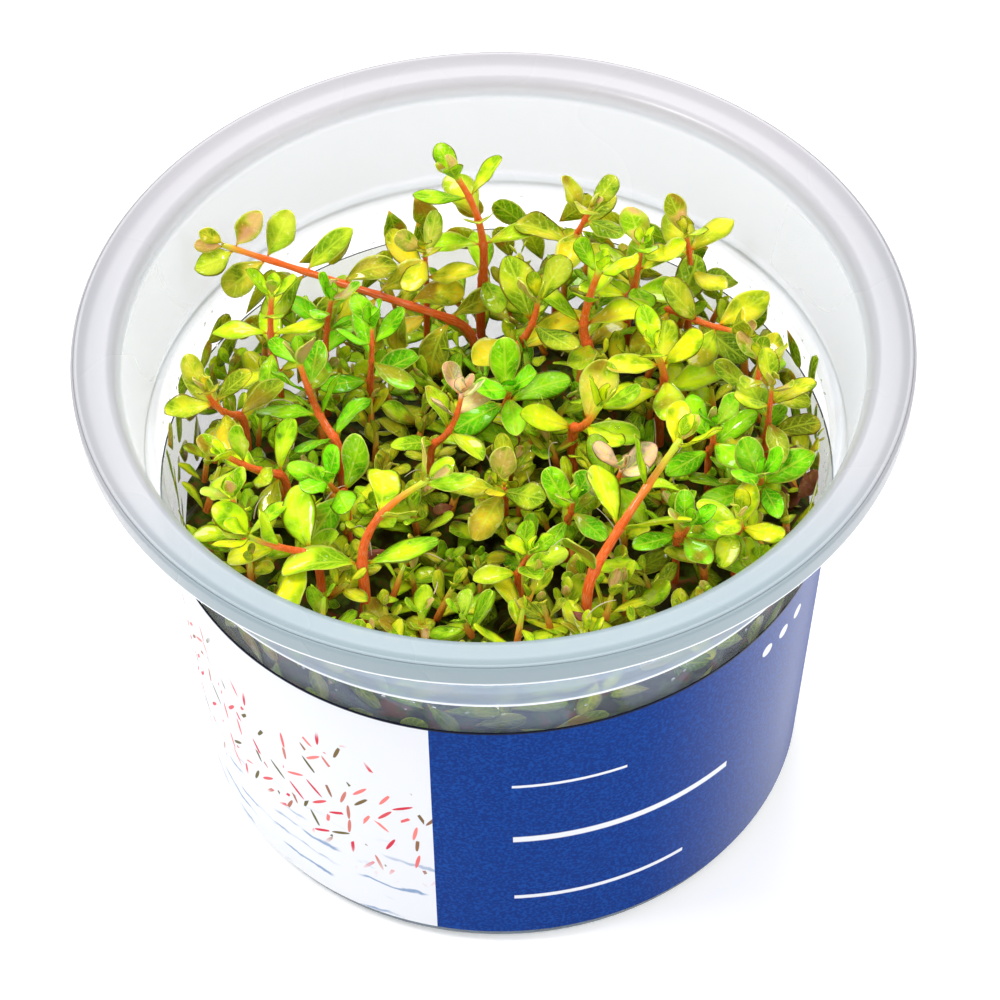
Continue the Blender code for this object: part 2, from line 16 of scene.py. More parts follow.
import bmesh
import bpy
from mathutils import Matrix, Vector

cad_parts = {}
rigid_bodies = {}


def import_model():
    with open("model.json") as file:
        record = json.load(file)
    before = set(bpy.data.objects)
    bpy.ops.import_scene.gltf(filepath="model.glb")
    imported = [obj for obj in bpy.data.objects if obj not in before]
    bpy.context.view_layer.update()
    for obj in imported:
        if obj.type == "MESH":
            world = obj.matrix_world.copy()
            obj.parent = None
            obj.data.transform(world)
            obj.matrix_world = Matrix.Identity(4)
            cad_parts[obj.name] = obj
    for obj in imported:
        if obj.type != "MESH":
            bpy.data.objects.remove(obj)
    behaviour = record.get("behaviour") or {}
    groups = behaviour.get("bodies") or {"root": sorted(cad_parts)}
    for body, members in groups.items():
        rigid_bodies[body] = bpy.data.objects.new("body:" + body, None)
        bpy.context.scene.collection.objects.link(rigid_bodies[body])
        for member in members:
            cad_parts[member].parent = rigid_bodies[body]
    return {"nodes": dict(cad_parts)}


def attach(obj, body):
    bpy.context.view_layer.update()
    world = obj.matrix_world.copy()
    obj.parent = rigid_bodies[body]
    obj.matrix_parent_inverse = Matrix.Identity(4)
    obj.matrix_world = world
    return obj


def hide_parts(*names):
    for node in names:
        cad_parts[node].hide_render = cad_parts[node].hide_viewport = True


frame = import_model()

MM = 0.001
BODY = "root"
RIGHT, BEHIND, UP = Vector((1.0, 0.0, 0.0)), Vector((0.0, 1.0, 0.0)), Vector((0.0, 0.0, 1.0))

Colour = tuple[float, float, float]
Place = tuple[float, float, float]
Pair = tuple[float, float]
Span = tuple[float, float]
Value = Union["Wire", float, int, bool, Sequence[float], bpy.types.ID]
NO_TONE: Colour = (0.0, 0.0, 0.0)

log = logging.getLogger("rotala")


def smooth_step(low: float, high: float, value: float) -> float:
    """A smooth rise from 0 at low to 1 at high.

    Args:
        low: Where the rise starts.
        high: Where the rise ends.
        value: The value to read it at.

    Returns:
        The share of the rise that is done.
    """
    share = min(max((value - low) / (high - low), 0.0), 1.0)
    return share * share * (3.0 - 2.0 * share)


class Wire:
    """A socket that takes part in arithmetic: an expression on wires adds its Math nodes to the tree."""

    def __init__(self, bench: "Bench", socket: bpy.types.NodeSocket) -> None:
        """Wrap an output socket of a tree that bench builds."""
        self.bench = bench
        self.socket = socket

    def beside(self, output: Union[str, int]) -> "Wire":
        """Another output of the same node."""
        return Wire(self.bench, self.socket.node.outputs[output])

    def __add__(self, other: Value) -> "Wire":
        """The sum."""
        return self.bench.math("ADD", self, other)

    __radd__ = __add__

    def __sub__(self, other: Value) -> "Wire":
        """The difference."""
        return self.bench.math("SUBTRACT", self, other)

    def __rsub__(self, other: Value) -> "Wire":
        """The difference, with the wire second."""
        return self.bench.math("SUBTRACT", other, self)

    def __mul__(self, other: Value) -> "Wire":
        """The product."""
        return self.bench.math("MULTIPLY", self, other)

    __rmul__ = __mul__

    def __truediv__(self, other: Value) -> "Wire":
        """The quotient."""
        return self.bench.math("DIVIDE", self, other)

    def __pow__(self, other: Value) -> "Wire":
        """The power."""
        return self.bench.math("POWER", self, other)

    def __gt__(self, other: Value) -> "Wire":
        """1 where the value is greater, and 0 elsewhere."""
        return self.bench.math("GREATER_THAN", self, other)

    def __lt__(self, other: Value) -> "Wire":
        """1 where the value is less, and 0 elsewhere."""
        return self.bench.math("LESS_THAN", self, other)

    def __abs__(self) -> "Wire":
        """The value without its sign."""
        return self.bench.math("ABSOLUTE", self)

    def sine(self) -> "Wire":
        """The sine of the value, in radians."""
        return self.bench.math("SINE", self)

    def rise(self, low: float, high: float) -> "Wire":
        """A smooth rise from 0 at low to 1 at high."""
        return self.bench.node(
            "ShaderNodeMapRange", {"interpolation_type": "SMOOTHSTEP"},
            {"Value": self, "From Min": low, "From Max": high},
        )

    def ramp(self, *stops: tuple[float, Colour]) -> "Wire":
        """The colour that a ramp of (position, colour) stops has at the value."""
        return self.bench.node("ShaderNodeValToRGB", {"stops": stops}, {"Fac": self})


class Bench:
    """Builds a node tree of any kind, node by node."""

    def __init__(self, tree: bpy.types.NodeTree) -> None:
        """Work on a tree."""
        self.tree = tree

    def node(
        self,
        kind: str,
        settings: dict[str, Any] | None = None,
        sockets: dict[Union[str, int], Value] | None = None,
        output: Union[str, int] = 0,
    ) -> Wire:
        """Add a node.

        Args:
            kind: The node's type, such as ShaderNodeMath.
            settings: Its properties, and the stops of its ramp, which are set first.
            sockets: What its inputs get: a wire is linked, anything else is their own value.
            output: The output that is returned.

        Returns:
            The wanted output as a wire.
        """
        made = self.tree.nodes.new(kind)
        for name, value in (settings or {}).items():
            if name == "stops":
                self._set_stops(made.color_ramp, value)
            else:
                setattr(made, name, value)
        for key, value in (sockets or {}).items():
            self.feed(made.inputs[key], value)
        return Wire(self, made.outputs[output])

    @staticmethod
    def _set_stops(ramp: bpy.types.ColorRamp, stops: Sequence[tuple[float, Colour]]) -> None:
        """Give a ramp its stops."""
        while len(ramp.elements) < len(stops):
            ramp.elements.new(1.0)
        for element, (position, colour) in zip(ramp.elements, stops):
            element.position = position
            element.color = (*colour, 1.0)

    def feed(self, socket: bpy.types.NodeSocket, value: Value) -> None:
        """Link a wire to a socket, or set the socket's own value."""
        if isinstance(value, Wire):
            self.tree.links.new(value.socket, socket)
        elif socket.type == "RGBA" and len(value) == 3:
            socket.default_value = (*value, 1.0)
        else:
            socket.default_value = value

    def math(self, operation: str, *values: Value) -> Wire:
        """A Math node on one to three values."""
        return self.node("ShaderNodeMath", {"operation": operation}, dict(enumerate(values)))

    def mix(self, share: Value, first: Value, second: Value, blend: str = "MIX") -> Wire:
        """A blend of two colours."""
        return self.node(
            "ShaderNodeMix", {"data_type": "RGBA", "blend_type": blend, "clamp_factor": True},
            {0: share, 6: first, 7: second}, output=2,
        )

    def vector(self, operation: str, first: Value, second: Value) -> Wire:
        """A Vector Math node on two vectors."""
        return self.node("ShaderNodeVectorMath", {"operation": operation}, {0: first, 1: second})

    def split(self, vector: Wire) -> tuple[Wire, Wire, Wire]:
        """A vector's three parts."""
        first = self.node("ShaderNodeSeparateXYZ", {}, {0: vector})
        return first, first.beside("Y"), first.beside("Z")

    def join(self, *parts: Value) -> Wire:
        """A vector of up to three parts."""
        return self.node("ShaderNodeCombineXYZ", {}, dict(enumerate(parts)))

    def attribute(self, name: str, output: str = "Fac") -> Wire:
        """A named attribute of the mesh."""
        return self.node("ShaderNodeAttribute", {"attribute_name": name}, output=output)

    def place(self) -> Wire:
        """The surface's place in the part's frame."""
        return self.node("ShaderNodeTexCoord", output="Object")

    def noise(self, where: Wire, per_metre: float, detail: float = 1.0, dimensions: str = "3D") -> Wire:
        """Noise from 0 to 1, with so many lumps per metre."""
        return self.node(
            "ShaderNodeTexNoise", {"noise_dimensions": dimensions},
            {"Vector": where, "Scale": per_metre, "Detail": detail},
        )

    def bump(self, height: Wire, depth: float, strength: float = 1.0) -> Wire:
        """A normal that shows a height, given from 0 to 1, over a depth in metres."""
        return self.node(
            "ShaderNodeBump", {}, {"Height": height, "Distance": depth, "Strength": strength}, "Normal"
        )


@dataclass(frozen=True)
class Finish:
    """A named finish: one Principled shader whose constants sit on its own sockets."""

    name: str

    def constants(self) -> dict[str, Any]:
        """The shader's values that are the same all over."""
        return {}

    def paint(self, bench: Bench) -> dict[str, Wire]:
        """What varies over the surface, by the shader's socket."""
        return {}

    def material(self) -> bpy.types.Material:
        """The finish's material, made on first use.

        Returns:
            The material.
        """
        found = bpy.data.materials.get(self.name)
        if found:
            return found
        made = bpy.data.materials.new(self.name)
        made.use_nodes = True
        bench = Bench(made.node_tree)
        shader = made.node_tree.nodes["Principled BSDF"]
        for socket, value in self.constants().items():
            bench.feed(shader.inputs[socket], value)
        for socket, wire in self.paint(bench).items():
            bench.feed(shader.inputs[socket], wire)
        return made


@dataclass(frozen=True)
class MilkyPlastic(Finish):
    """Thin moulded polypropylene that light goes through, clearer below its neck.

    The front has tints of its own: a blue painted reflection on the neck and painted shade on the clear wall
    under it. The flange has one tint each for its front, its sides and its back, which paint its light and
    shade: the back lit, the sides and front shaded. The foot's dark tint is painted shade. Wet leaves that
    touch the wall make it clearer. Outer edges get lines of painted highlight, and inner folds lines of
    painted shade: each is a height with the least or greatest radius that it is drawn at. A span is where a
    change starts and ends.
    """

    neck_colour: Colour = (0.50, 0.53, 0.61)
    neck_front: Colour = (0.43, 0.53, 0.66)
    window_colour: Colour = (0.23, 0.29, 0.42)
    flange_back: Colour = (0.495, 0.480, 0.510)
    flange_side: Colour = (0.400, 0.403, 0.432)
    flange_front: Colour = (0.292, 0.366, 0.405)
    foot_colour: Colour = (0.10, 0.14, 0.18)
    edge_colour: Colour = (0.86, 0.88, 0.92)
    fold_colour: Colour = (0.34, 0.38, 0.41)
    neck_alpha: float = 0.40
    neck_front_alpha: float = 0.54
    wall_alpha: float = 0.28
    contact_alpha: float = 0.13
    back_alpha: float = 0.12
    foot_alpha: float = 0.95
    flange_alpha: float = 0.92
    edge_alpha: float = 0.40
    fold_alpha: float = 0.10
    fold_strength: float = 0.35
    front_span: Span = (-43.0 * MM, -17.0 * MM)
    behind_span: Span = (5.0 * MM, 42.0 * MM)
    foot_span: Span = (1.2 * MM, 2.4 * MM)
    neck_span: Span = (52.5 * MM, 53.0 * MM)
    flange_span: Span = (66.4 * MM, 68.0 * MM)
    brim_span: Span = (46.0 * MM, 48.0 * MM)
    edges: tuple[Pair, ...] = ((53.3 * MM, 41.9 * MM), (66.3 * MM, 48.3 * MM))
    folds: tuple[Pair, ...] = ((67.0 * MM, 44.7 * MM), (55.3 * MM, 42.1 * MM))
    line_width: float = 0.26 * MM

    def constants(self) -> dict[str, Any]:
        """The shader's values that are the same all over."""
        return {"IOR": 1.49, "Specular IOR Level": 0.35}

    def paint(self, bench: Bench) -> dict[str, Wire]:
        """Alpha falls in the clear band, most of all where wet leaves touch it, and rises in the edges."""
        place = bench.place()
        x, y, height = bench.split(place)
        radius = (x * x + y * y) ** 0.5
        cloud = bench.noise(place, 45.0)
        contact = bench.noise(place, 190.0).rise(0.50, 0.56)
        front = 1 - y.rise(*self.front_span)
        foot = 1 - height.rise(*self.foot_span)
        neck = height.rise(*self.neck_span)
        flange = bench.math("MAXIMUM", height.rise(*self.flange_span), radius.rise(*self.brim_span))
        pressed = self.wall_alpha - self.back_alpha - contact * (self.wall_alpha - self.contact_alpha)
        alpha = pressed * front + self.back_alpha + (cloud - 0.5) * 0.01
        alpha = alpha + neck * (front * (self.neck_front_alpha - self.neck_alpha) + self.neck_alpha - alpha)
        alpha = alpha + flange * (self.flange_alpha - alpha)
        alpha = alpha + foot * (self.foot_alpha - self.wall_alpha)
        # Painted tints on the front: a blue painted reflection on the neck and painted shade on the clear
        # wall under it.
        tint = bench.mix(front, self.neck_colour, bench.mix(neck, self.window_colour, self.neck_front))
        # Painted light and shade on the flange: its back lit, its sides and front shaded.
        far = bench.mix(y.rise(*self.behind_span), self.flange_side, self.flange_back)
        tint = bench.mix(flange, tint, bench.mix(front, far, self.flange_front))
        # The foot's dark tint is painted shade.
        tint = bench.mix(foot, tint, self.foot_colour)
        # Painted highlight lines along the outer edges.
        for at, least_radius in self.edges:
            near = self._line(height, at) * (radius > least_radius)
            tint = bench.mix(near, tint, self.edge_colour)
            alpha = alpha + near * self.edge_alpha
        # Painted shade lines in the inner folds.
        for at, greatest_radius in self.folds:
            near = self._line(height, at) * (radius < greatest_radius)
            tint = bench.mix(near * self.fold_strength, tint, self.fold_colour)
            alpha = alpha + near * self.fold_alpha
        return {
            "Base Color": tint,
            "Alpha": bench.math("MINIMUM", alpha, 1.0),
            "Roughness": 0.20 + cloud * 0.16,
        }

    def _line(self, height: Wire, at: float) -> Wire:
        """A soft line round the cup at a height: 1 on it and 0 off it."""
        return 1 - abs(height - at).rise(self.line_width * 0.5, self.line_width * 1.5)


@dataclass(frozen=True)
class PrintedFilm(Finish):
    """The label's print: a white panel with ripples and dabs, and a dark blue one with rules and dots.

    Places round the cup are in degrees from +X, from 0 to 360. The white panel goes from panel_start to
    an edge that slants a little. A dot is its place and its height over the rim plane in millimetres. A
    rule is its start, its end, its height and its thickness.
    """

    white: Colour = (0.73, 0.745, 0.785)
    blue: Colour = (0.001, 0.027, 0.190)
    light_blue: Colour = (0.004, 0.060, 0.31)
    cloud_blue: Colour = (0.004, 0.03, 0.18)
    wave_blue: Colour = (0.10, 0.22, 0.42)
    berry: Colour = (0.60, 0.03, 0.06)
    blush: Colour = (0.80, 0.22, 0.20)
    twig: Colour = (0.12, 0.10, 0.03)
    line_colour: Colour = (0.012, 0.014, 0.03)
    panel_start: float = 78.0
    edge_top: float = 257.6
    edge_bottom: float = 256.4
    bottom: float = 2.5 * MM
    top: float = 46.3 * MM
    top_line: float = 0.30 * MM
    wall_radius: float = 40.0 * MM
    rim: float = 68.5 * MM
    dots: tuple[Pair, ...] = ((321.0, -27.3), (326.0, -27.3), (331.0, -27.3))
    dot_radius: float = 0.95 * MM
    rules: tuple[tuple[float, float, float, float], ...] = (
        (271.0, 291.0, -33.5, 0.5), (271.0, 313.0, -45.0, 1.1), (271.0, 304.0, -58.0, 0.7),
    )
    ripples_end: Span = (12.0 * MM, 22.0 * MM)
    dabs_start: Span = (10.0 * MM, 16.0 * MM)
    dabs_end: Span = (37.0 * MM, 42.0 * MM)
    dabs_per_metre: float = 330.0
    dab_length: float = 1.7 * MM
    dab_width: float = 0.27 * MM
    gloss_start: Span = (292.0, 325.0)
    gloss_end: Span = (330.0, 350.0)
    gloss: float = 0.55

    def constants(self) -> dict[str, Any]:
        """The shader's values that are the same all over."""
        return {"IOR": 1.5, "Specular IOR Level": 0.03, "Coat Roughness": 0.2}

    def paint(self, bench: Bench) -> dict[str, Wire]:
        """The print's colours with a fine grain, under a soft gloss."""
        place = bench.place()
        x, y, height = bench.split(place)
        turn = bench.math("ARCTAN2", y, x) * (180.0 / math.pi)
        turn = turn + (turn < 0.0) * 360.0
        run = turn * (math.pi / 180.0 * self.wall_radius)
        slant = (self.edge_top - self.edge_bottom) / (self.top - self.bottom)
        edge = (height - self.bottom) * slant + self.edge_bottom
        in_white = (turn < edge) * (turn > self.panel_start)
        grain = bench.noise(place, 2600.0)
        cloud = bench.noise(place, 30.0, 2.0)
        blue = bench.mix(grain.rise(0.42, 0.68), self.blue, self.light_blue)
        blue = bench.mix(cloud * 0.3, blue, self.cloud_blue)
        colour = bench.mix(in_white, blue, self._picture(bench, run, height))
        for degrees, over_rim in self.dots:
            across = run - degrees * math.pi / 180.0 * self.wall_radius
            above = height - (self.rim + over_rim * MM)
            distance = (across * across + above * above) ** 0.5
            spot = 1 - distance.rise(self.dot_radius * 0.93, self.dot_radius * 1.07)
            colour = bench.mix(spot, colour, self.white)
        for start, end, over_rim, thickness in self.rules:
            above = abs(height - (self.rim + over_rim * MM))
            line = 1 - above.rise(thickness * 0.4 * MM, thickness * 0.6 * MM)
            line = line * turn.rise(start, start + 0.1) * (1 - turn.rise(end, end + 0.1))
            colour = bench.mix(line, colour, self.white)
        # A painted shadow line along the label's top edge.
        line = height.rise(self.top - self.top_line, self.top - self.top_line * 0.6)
        return {
            "Base Color": bench.mix(line, colour, self.line_colour),
            "Coat Weight": turn.rise(*self.gloss_start) * (1 - turn.rise(*self.gloss_end)) * self.gloss,
            "Roughness": 0.34 + grain * 0.10 + in_white * 0.05,
            "Normal": bench.bump(cloud, 0.05 * MM, 0.25),
        }

    def _picture(self, bench: Bench, run: Wire, height: Wire) -> Wire:
        """The white panel's loose print: ripples below and a scatter of dabs.

        Args:
            bench: The tree's builder.
            run: Distance round the wall.
            height: Height above the base.

        Returns:
            The panel's colour.
        """
        flat = bench.join(run, height)
        warp = bench.noise(flat, 160.0, 3.0)
        lines = (height * 1900.0 + warp * 9.0 + run * 60.0).sine().rise(0.72, 0.99)
        broken = bench.noise(bench.vector("MULTIPLY", flat, (1, 3, 1)), 120.0).rise(0.50, 0.62)
        ripples = lines * broken * (1 - height.rise(*self.ripples_end))
        panel = bench.mix(ripples * 0.8, self.white, self.wave_blue)
        cells = bench.node(
            "ShaderNodeTexVoronoi", {"feature": "F1"},
            {"Vector": flat, "Scale": self.dabs_per_metre, "Randomness": 1.0},
        )
        lean = bench.node("ShaderNodeSeparateColor", {}, {0: cells.beside("Color")})
        pick = lean.beside("Green")
        aside, up, _ = bench.split(bench.vector("SUBTRACT", flat, cells.beside("Position")))
        angle = 0.5 + lean * 1.9
        cosine, sine = bench.math("COSINE", angle), angle.sine()
        along = (aside * cosine + up * sine) / self.dab_length
        across = (up * cosine - aside * sine) / self.dab_width
        shape = along * along + across * across
        drift = bench.noise(flat, 60.0).rise(0.44, 0.50)
        band = height.rise(*self.dabs_start) * (1 - height.rise(*self.dabs_end))
        dabs = (1 - shape.rise(0.7, 1.0)) * drift * band * pick.rise(0.24, 0.25)
        ink = pick.ramp((0.40, self.berry), (0.62, self.blush), (0.86, self.twig))
        return bench.mix(dabs, panel, ink)


@dataclass(frozen=True)
class PlantTissue(Finish):
    """Leaves and stems: the mesh says which by its stem attribute, and gives tone, age and luck.

    On a leaf the map's u runs from its root to its tip and v across it. On a stem u runs up it and v from
    one side to the opposite one. lemon and shade are what the tone is multiplied by in a leaf's light and
    dark patches; shade also paints shade towards a leaf's edges.
    """

    map_length: float = 7.0 * MM
    map_width: float = 3.3 * MM
    lemon: Colour = (1.65, 1.28, 1.0)
    shade: Colour = (0.26, 0.46, 0.3)
    rim_pale: Colour = (0.78, 0.84, 0.12)
    rim_brown: Colour = (0.12, 0.04, 0.008)
    vein_light: Colour = (0.70, 0.86, 0.05)
    stain: Colour = (0.42, 0.17, 0.02)
    blush: Colour = (0.70, 0.34, 0.20)
    glint: Colour = (0.90, 0.95, 0.40)
    stem_red: Colour = (0.86, 0.115, 0.008)
    stem_orange: Colour = (0.95, 0.32, 0.020)
    streak: Colour = (0.98, 0.44, 0.20)

    def constants(self) -> dict[str, Any]:
        """The shader's values that are the same all over."""
        return {
            "IOR": 1.42, "Specular IOR Level": 0.04, "Coat Roughness": 0.06, "Coat IOR": 1.45,
            "Subsurface Weight": 0.3, "Subsurface Radius": (1.0, 0.9, 0.15), "Subsurface Scale": 0.4 * MM,
        }

    def paint(self, bench: Bench) -> dict[str, Wire]:
        """Leaf tissue and bark, with a fine relief and wet patches."""
        along, across, _ = bench.split(bench.node("ShaderNodeUVMap", {"uv_map": "UVMap"}))
        own = bench.attribute("luck") * 0.17 + bench.attribute("tone") * 0.31
        flat = bench.join(along * self.map_length + own, across * self.map_width)
        fine = bench.noise(flat, 1500.0, 2.0, "2D")
        broad = bench.noise(flat, 260.0, 2.0, "2D")
        off = abs(across * 2.0 - 1.0)
        pale = self._network(bench, flat, along, off)
        leaf = self._leaf(bench, flat, along, off, broad, pale)
        # Pale flecks are painted glints, standing for the tiny highlights of wet leaves.
        leaf = bench.mix(fine.rise(0.66, 0.74) * 0.30, leaf, self.glint)
        return {
            "Base Color": bench.mix(bench.attribute("stem"), leaf, self._bark(bench, along, across)),
            "Roughness": 0.28 + fine * 0.24,
            "Coat Weight": broad.rise(0.54, 0.58) * 0.95,
            "Normal": bench.bump(fine - (1 - off.rise(0.0, 0.25)) * 0.6, 0.10 * MM, 0.9),
        }

    def _network(self, bench: Bench, flat: Wire, along: Wire, off: Wire) -> Wire:
        """How strongly a midrib, side veins and the net between them show.

        Args:
            bench: The tree's builder.
            flat: The place on the leaf's own plane, in metres.
            along: From 0 at the leaf's root to 1 at its tip.
            off: From 0 at the midrib to 1 at the edge.

        Returns:
            From 0, between veins, to 1, on the midrib.
        """
        warp = bench.noise(flat, 420.0, 1.0, "2D") - 0.5
        cells = bench.node(
            "ShaderNodeTexVoronoi", {"feature": "DISTANCE_TO_EDGE", "voronoi_dimensions": "2D"},
            {"Vector": flat, "Scale": 1500.0}, "Distance",
        )
        veins = (along * 40.0 - off * 12.0 + warp * 7.0).sine().rise(0.5, 0.98) * off.rise(0.05, 0.2)
        midrib = 1 - (off + warp * 0.06).rise(0.03, 0.13)
        return bench.math("MAXIMUM", midrib, veins * 0.6 + (1 - cells.rise(0.02, 0.16)) * 0.4)

    def _leaf(self, bench: Bench, flat: Wire, along: Wire, off: Wire, broad: Wire, pale: Wire) -> Wire:
        """A leaf's colour: its tone in patches, its veins, a pale painted rim highlight on some leaves and a
        dry brown edge on others, a warm root, painted shade towards its edges, and stains on some leaves.

        Args:
            bench: The tree's builder.
            flat: The place on the leaf's own plane, in metres.
            along: From 0 at the leaf's root to 1 at its tip.
            off: From 0 at the midrib to 1 at the edge.
            broad: Noise as large as a quarter of a leaf.
            pale: How strongly veins show.

        Returns:
            The colour.
        """
        tone, age, luck = bench.attribute("tone", "Color"), bench.attribute("age"), bench.attribute("luck")
        lemon = bench.mix(1.0, tone, self.lemon, "MULTIPLY")
        shade = bench.mix(1.0, tone, self.shade, "MULTIPLY")
        leaf = bench.mix(broad.rise(0.46, 0.62) * 0.9, tone, lemon)
        leaf = bench.mix((1 - broad.rise(0.34, 0.50)) * 0.8, leaf, shade)
        leaf = bench.mix(pale * 0.5, leaf, self.vein_light)
        blot = bench.noise(flat, 150.0, 1.0, "2D").rise(0.53, 0.66)
        leaf = bench.mix(blot * luck.rise(0.45, 0.95) * 0.75, leaf, self.stain)
        young = (1 - age.rise(0.1, 0.55)) * luck.rise(0.55, 0.8) * broad.rise(0.36, 0.60)
        leaf = bench.mix(young * 0.8, leaf, self.blush)
        leaf = bench.mix((1 - along.rise(0.02, 0.16)) * 0.6, leaf, self.stem_orange)
        # Painted shade towards the leaf's edges.
        leaf = bench.mix(off.rise(0.30, 0.95) * 0.38, leaf, shade)
        dry = 1 - luck.rise(0.38, 0.46)
        tip = along.rise(0.955, 1.0)
        # A pale painted rim highlight on leaves that aren't dry.
        leaf = bench.mix((off.rise(0.84, 0.95) + tip) * (1 - dry) * 0.75, leaf, self.rim_pale)
        return bench.mix((off.rise(0.84, 0.96) + tip) * dry * 0.8, leaf, self.rim_brown)

    def _bark(self, bench: Bench, along: Wire, across: Wire) -> Wire:
        """A stem's colour: red below, orange above, with pale streaks of painted highlight."""
        age = bench.attribute("age")
        streak = bench.noise(bench.join(along * 3.0, across * 9.0), 6.0, 1.0, "2D")
        bark = age.ramp((0.0, self.stem_red), (0.5, self.stem_red), (0.85, self.stem_orange))
        bark = bench.mix(age.rise(0.72, 1.0), bark, bench.attribute("tone", "Color"))
        # Pale streaks are painted highlights.
        return bench.mix(streak.rise(0.46, 0.72) * 0.6, bark, self.streak)


@dataclass(frozen=True)
class LitterAndShade(Finish):
    """Wet dead tissue and roots in the depth between the shoots, near black as painted shade."""

    def constants(self) -> dict[str, Any]:
        """The shader's values that are the same all over."""
        return {"IOR": 1.4, "Specular IOR Level": 0.05}

    def paint(self, bench: Bench) -> dict[str, Wire]:
        """Brown, black and dark green lumps; the near-black is painted shade."""
        place = bench.place()
        lumps = bench.noise(place, 420.0, 4.0)
        return {
            "Base Color": lumps.ramp(
                (0.25, (0.008, 0.006, 0.002)), (0.44, (0.040, 0.030, 0.006)),
                (0.54, (0.060, 0.110, 0.008)), (0.66, (0.22, 0.070, 0.026)),
            ),
            "Roughness": 0.25 + lumps * 0.3,
            "Normal": bench.bump(lumps, 0.5 * MM, 0.8),
        }


@dataclass(frozen=True)
class Withered(Finish):
    """Dead leaves, brown and dull red."""

    def constants(self) -> dict[str, Any]:
        """The shader's values that are the same all over."""
        return {"IOR": 1.42, "Specular IOR Level": 0.15, "Coat Roughness": 0.1}

    def paint(self, bench: Bench) -> dict[str, Wire]:
        """Brown in patches, with red-violet and straw ones."""
        place = bench.place()
        patch = bench.noise(place, 240.0, 3.0)
        fine = bench.noise(place, 1400.0, 2.0)
        brown = patch.ramp(
            (0.30, (0.10, 0.030, 0.012)), (0.48, (0.24, 0.085, 0.030)), (0.60, (0.34, 0.070, 0.055)),
            (0.72, (0.55, 0.36, 0.14)),
        )
        return {
            "Base Color": bench.mix(fine.rise(0.5, 0.75) * 0.4, brown, (0.55, 0.34, 0.16)),
            "Roughness": 0.3 + fine * 0.3,
            "Coat Weight": patch.rise(0.5, 0.6) * 0.5,
            "Normal": bench.bump(fine, 0.15 * MM, 0.8),
        }


@dataclass(frozen=True)
class Clouded(Finish):
    """A finish of fixed values and, where it has tints, soft clouds of them.

    roughness and alpha each hold the value where the clouds are 0, and what is added where they are 1.
    """

    fixed: dict[str, Any]
    per_metre: float = 0.0
    detail: float = 3.0
    tints: tuple[tuple[float, Colour], ...] = ()
    roughness: Pair = (0.5, 0.0)
    alpha: Pair | None = None

    def constants(self) -> dict[str, Any]:
        """The shader's values that are the same all over."""
        return self.fixed

    def paint(self, bench: Bench) -> dict[str, Wire]:
        """Soft clouds, if there are tints."""
        if not self.tints:
            return {}
        cloud = bench.noise(bench.place(), self.per_metre, self.detail)
        painted = {"Base Color": cloud.ramp(*self.tints)}
        for socket, pair in (("Roughness", self.roughness), ("Alpha", self.alpha)):
            if pair:
                painted[socket] = pair[0] + cloud * pair[1]
        return painted


PLASTIC = MilkyPlastic("cup_plastic")
FILM = PrintedFilm("label_print")
TISSUE = PlantTissue("plant_tissue")
LITTER_AND_SHADE = LitterAndShade("dark_litter")
WITHERED = Withered("withered_leaf")
# The label's unprinted side; its faint glow is painted light, an emission that stands for the daylight that
# the film lets through.
BACKING = Clouded(
    "label_backing",
    {"IOR": 1.45, "Subsurface Weight": 1.0, "Subsurface Radius": (1.0, 1.0, 1.0),
     "Subsurface Scale": 1.0 * MM, "Emission Color": (1.0, 1.0, 1.0), "Emission Strength": 0.24},
    260.0, 3.0, ((0.3, (0.93, 0.93, 0.94)), (0.7, (0.97, 0.97, 0.98))), (0.45, 0.2),
)
JELLY = Clouded(
    "culture_jelly", {"IOR": 1.34}, 120.0, 3.0, ((0.3, (0.70, 0.72, 0.58)), (0.7, (0.80, 0.81, 0.70))),
    (0.05, 0.1), (0.45, 0.15),
)
ROOT = Clouded(
    "pale_root", {}, 300.0, 2.0, ((0.35, (0.72, 0.66, 0.48)), (0.7, (0.80, 0.55, 0.42))), (0.35, 0.2),
)
WATER = Clouded(
    "water", {"Base Color": (0.97, 0.99, 1.0), "IOR": 1.33, "Transmission Weight": 1.0, "Roughness": 0.02},
)
CARD = Clouded(
    "studio_card", {"Base Color": (0.92, 0.92, 0.92), "Roughness": 0.9,
                    "Emission Color": (1.0, 1.0, 1.0), "Emission Strength": 0.3},
)


def place_piece(piece: bpy.types.Object, slot: str | None, *nodes: str) -> None:
    """Let a finished piece ride on the part, hide the frame's nodes that it replaces and log its triangles.

    Args:
        piece: The piece, with its place in its mesh.
        slot: Not used.
        nodes: The frame's nodes that the piece replaces.
    """
    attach(piece, BODY)
    if nodes:
        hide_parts(*nodes)
    mesh = piece.data
    mesh.calc_loop_triangles()
    log.info("%s: %d triangles", piece.name, len(mesh.loop_triangles))


def linked(mesh: bpy.types.Mesh, name: str, finish: Finish | None = None) -> bpy.types.Object:
    """Put a mesh in the scene as an object.

    Args:
        mesh: The mesh.
        name: The object's name.
        finish: Its finish, if the mesh has none yet.

    Returns:
        The object.
    """
    if finish:
        mesh.materials.append(finish.material())
    mesh.shade_smooth()
    made = bpy.data.objects.new(name, mesh)
    bpy.context.scene.collection.objects.link(made)
    return made


def mesh_of(bm: bmesh.types.BMesh, name: str) -> bpy.types.Mesh:
    """Turn a finished bmesh into a mesh.

    Args:
        bm: The bmesh, which is freed.
        name: The mesh's name.

    Returns:
        The mesh.
    """
    mesh = bpy.data.meshes.new(name)
    bm.to_mesh(mesh)
    bm.free()
    return mesh


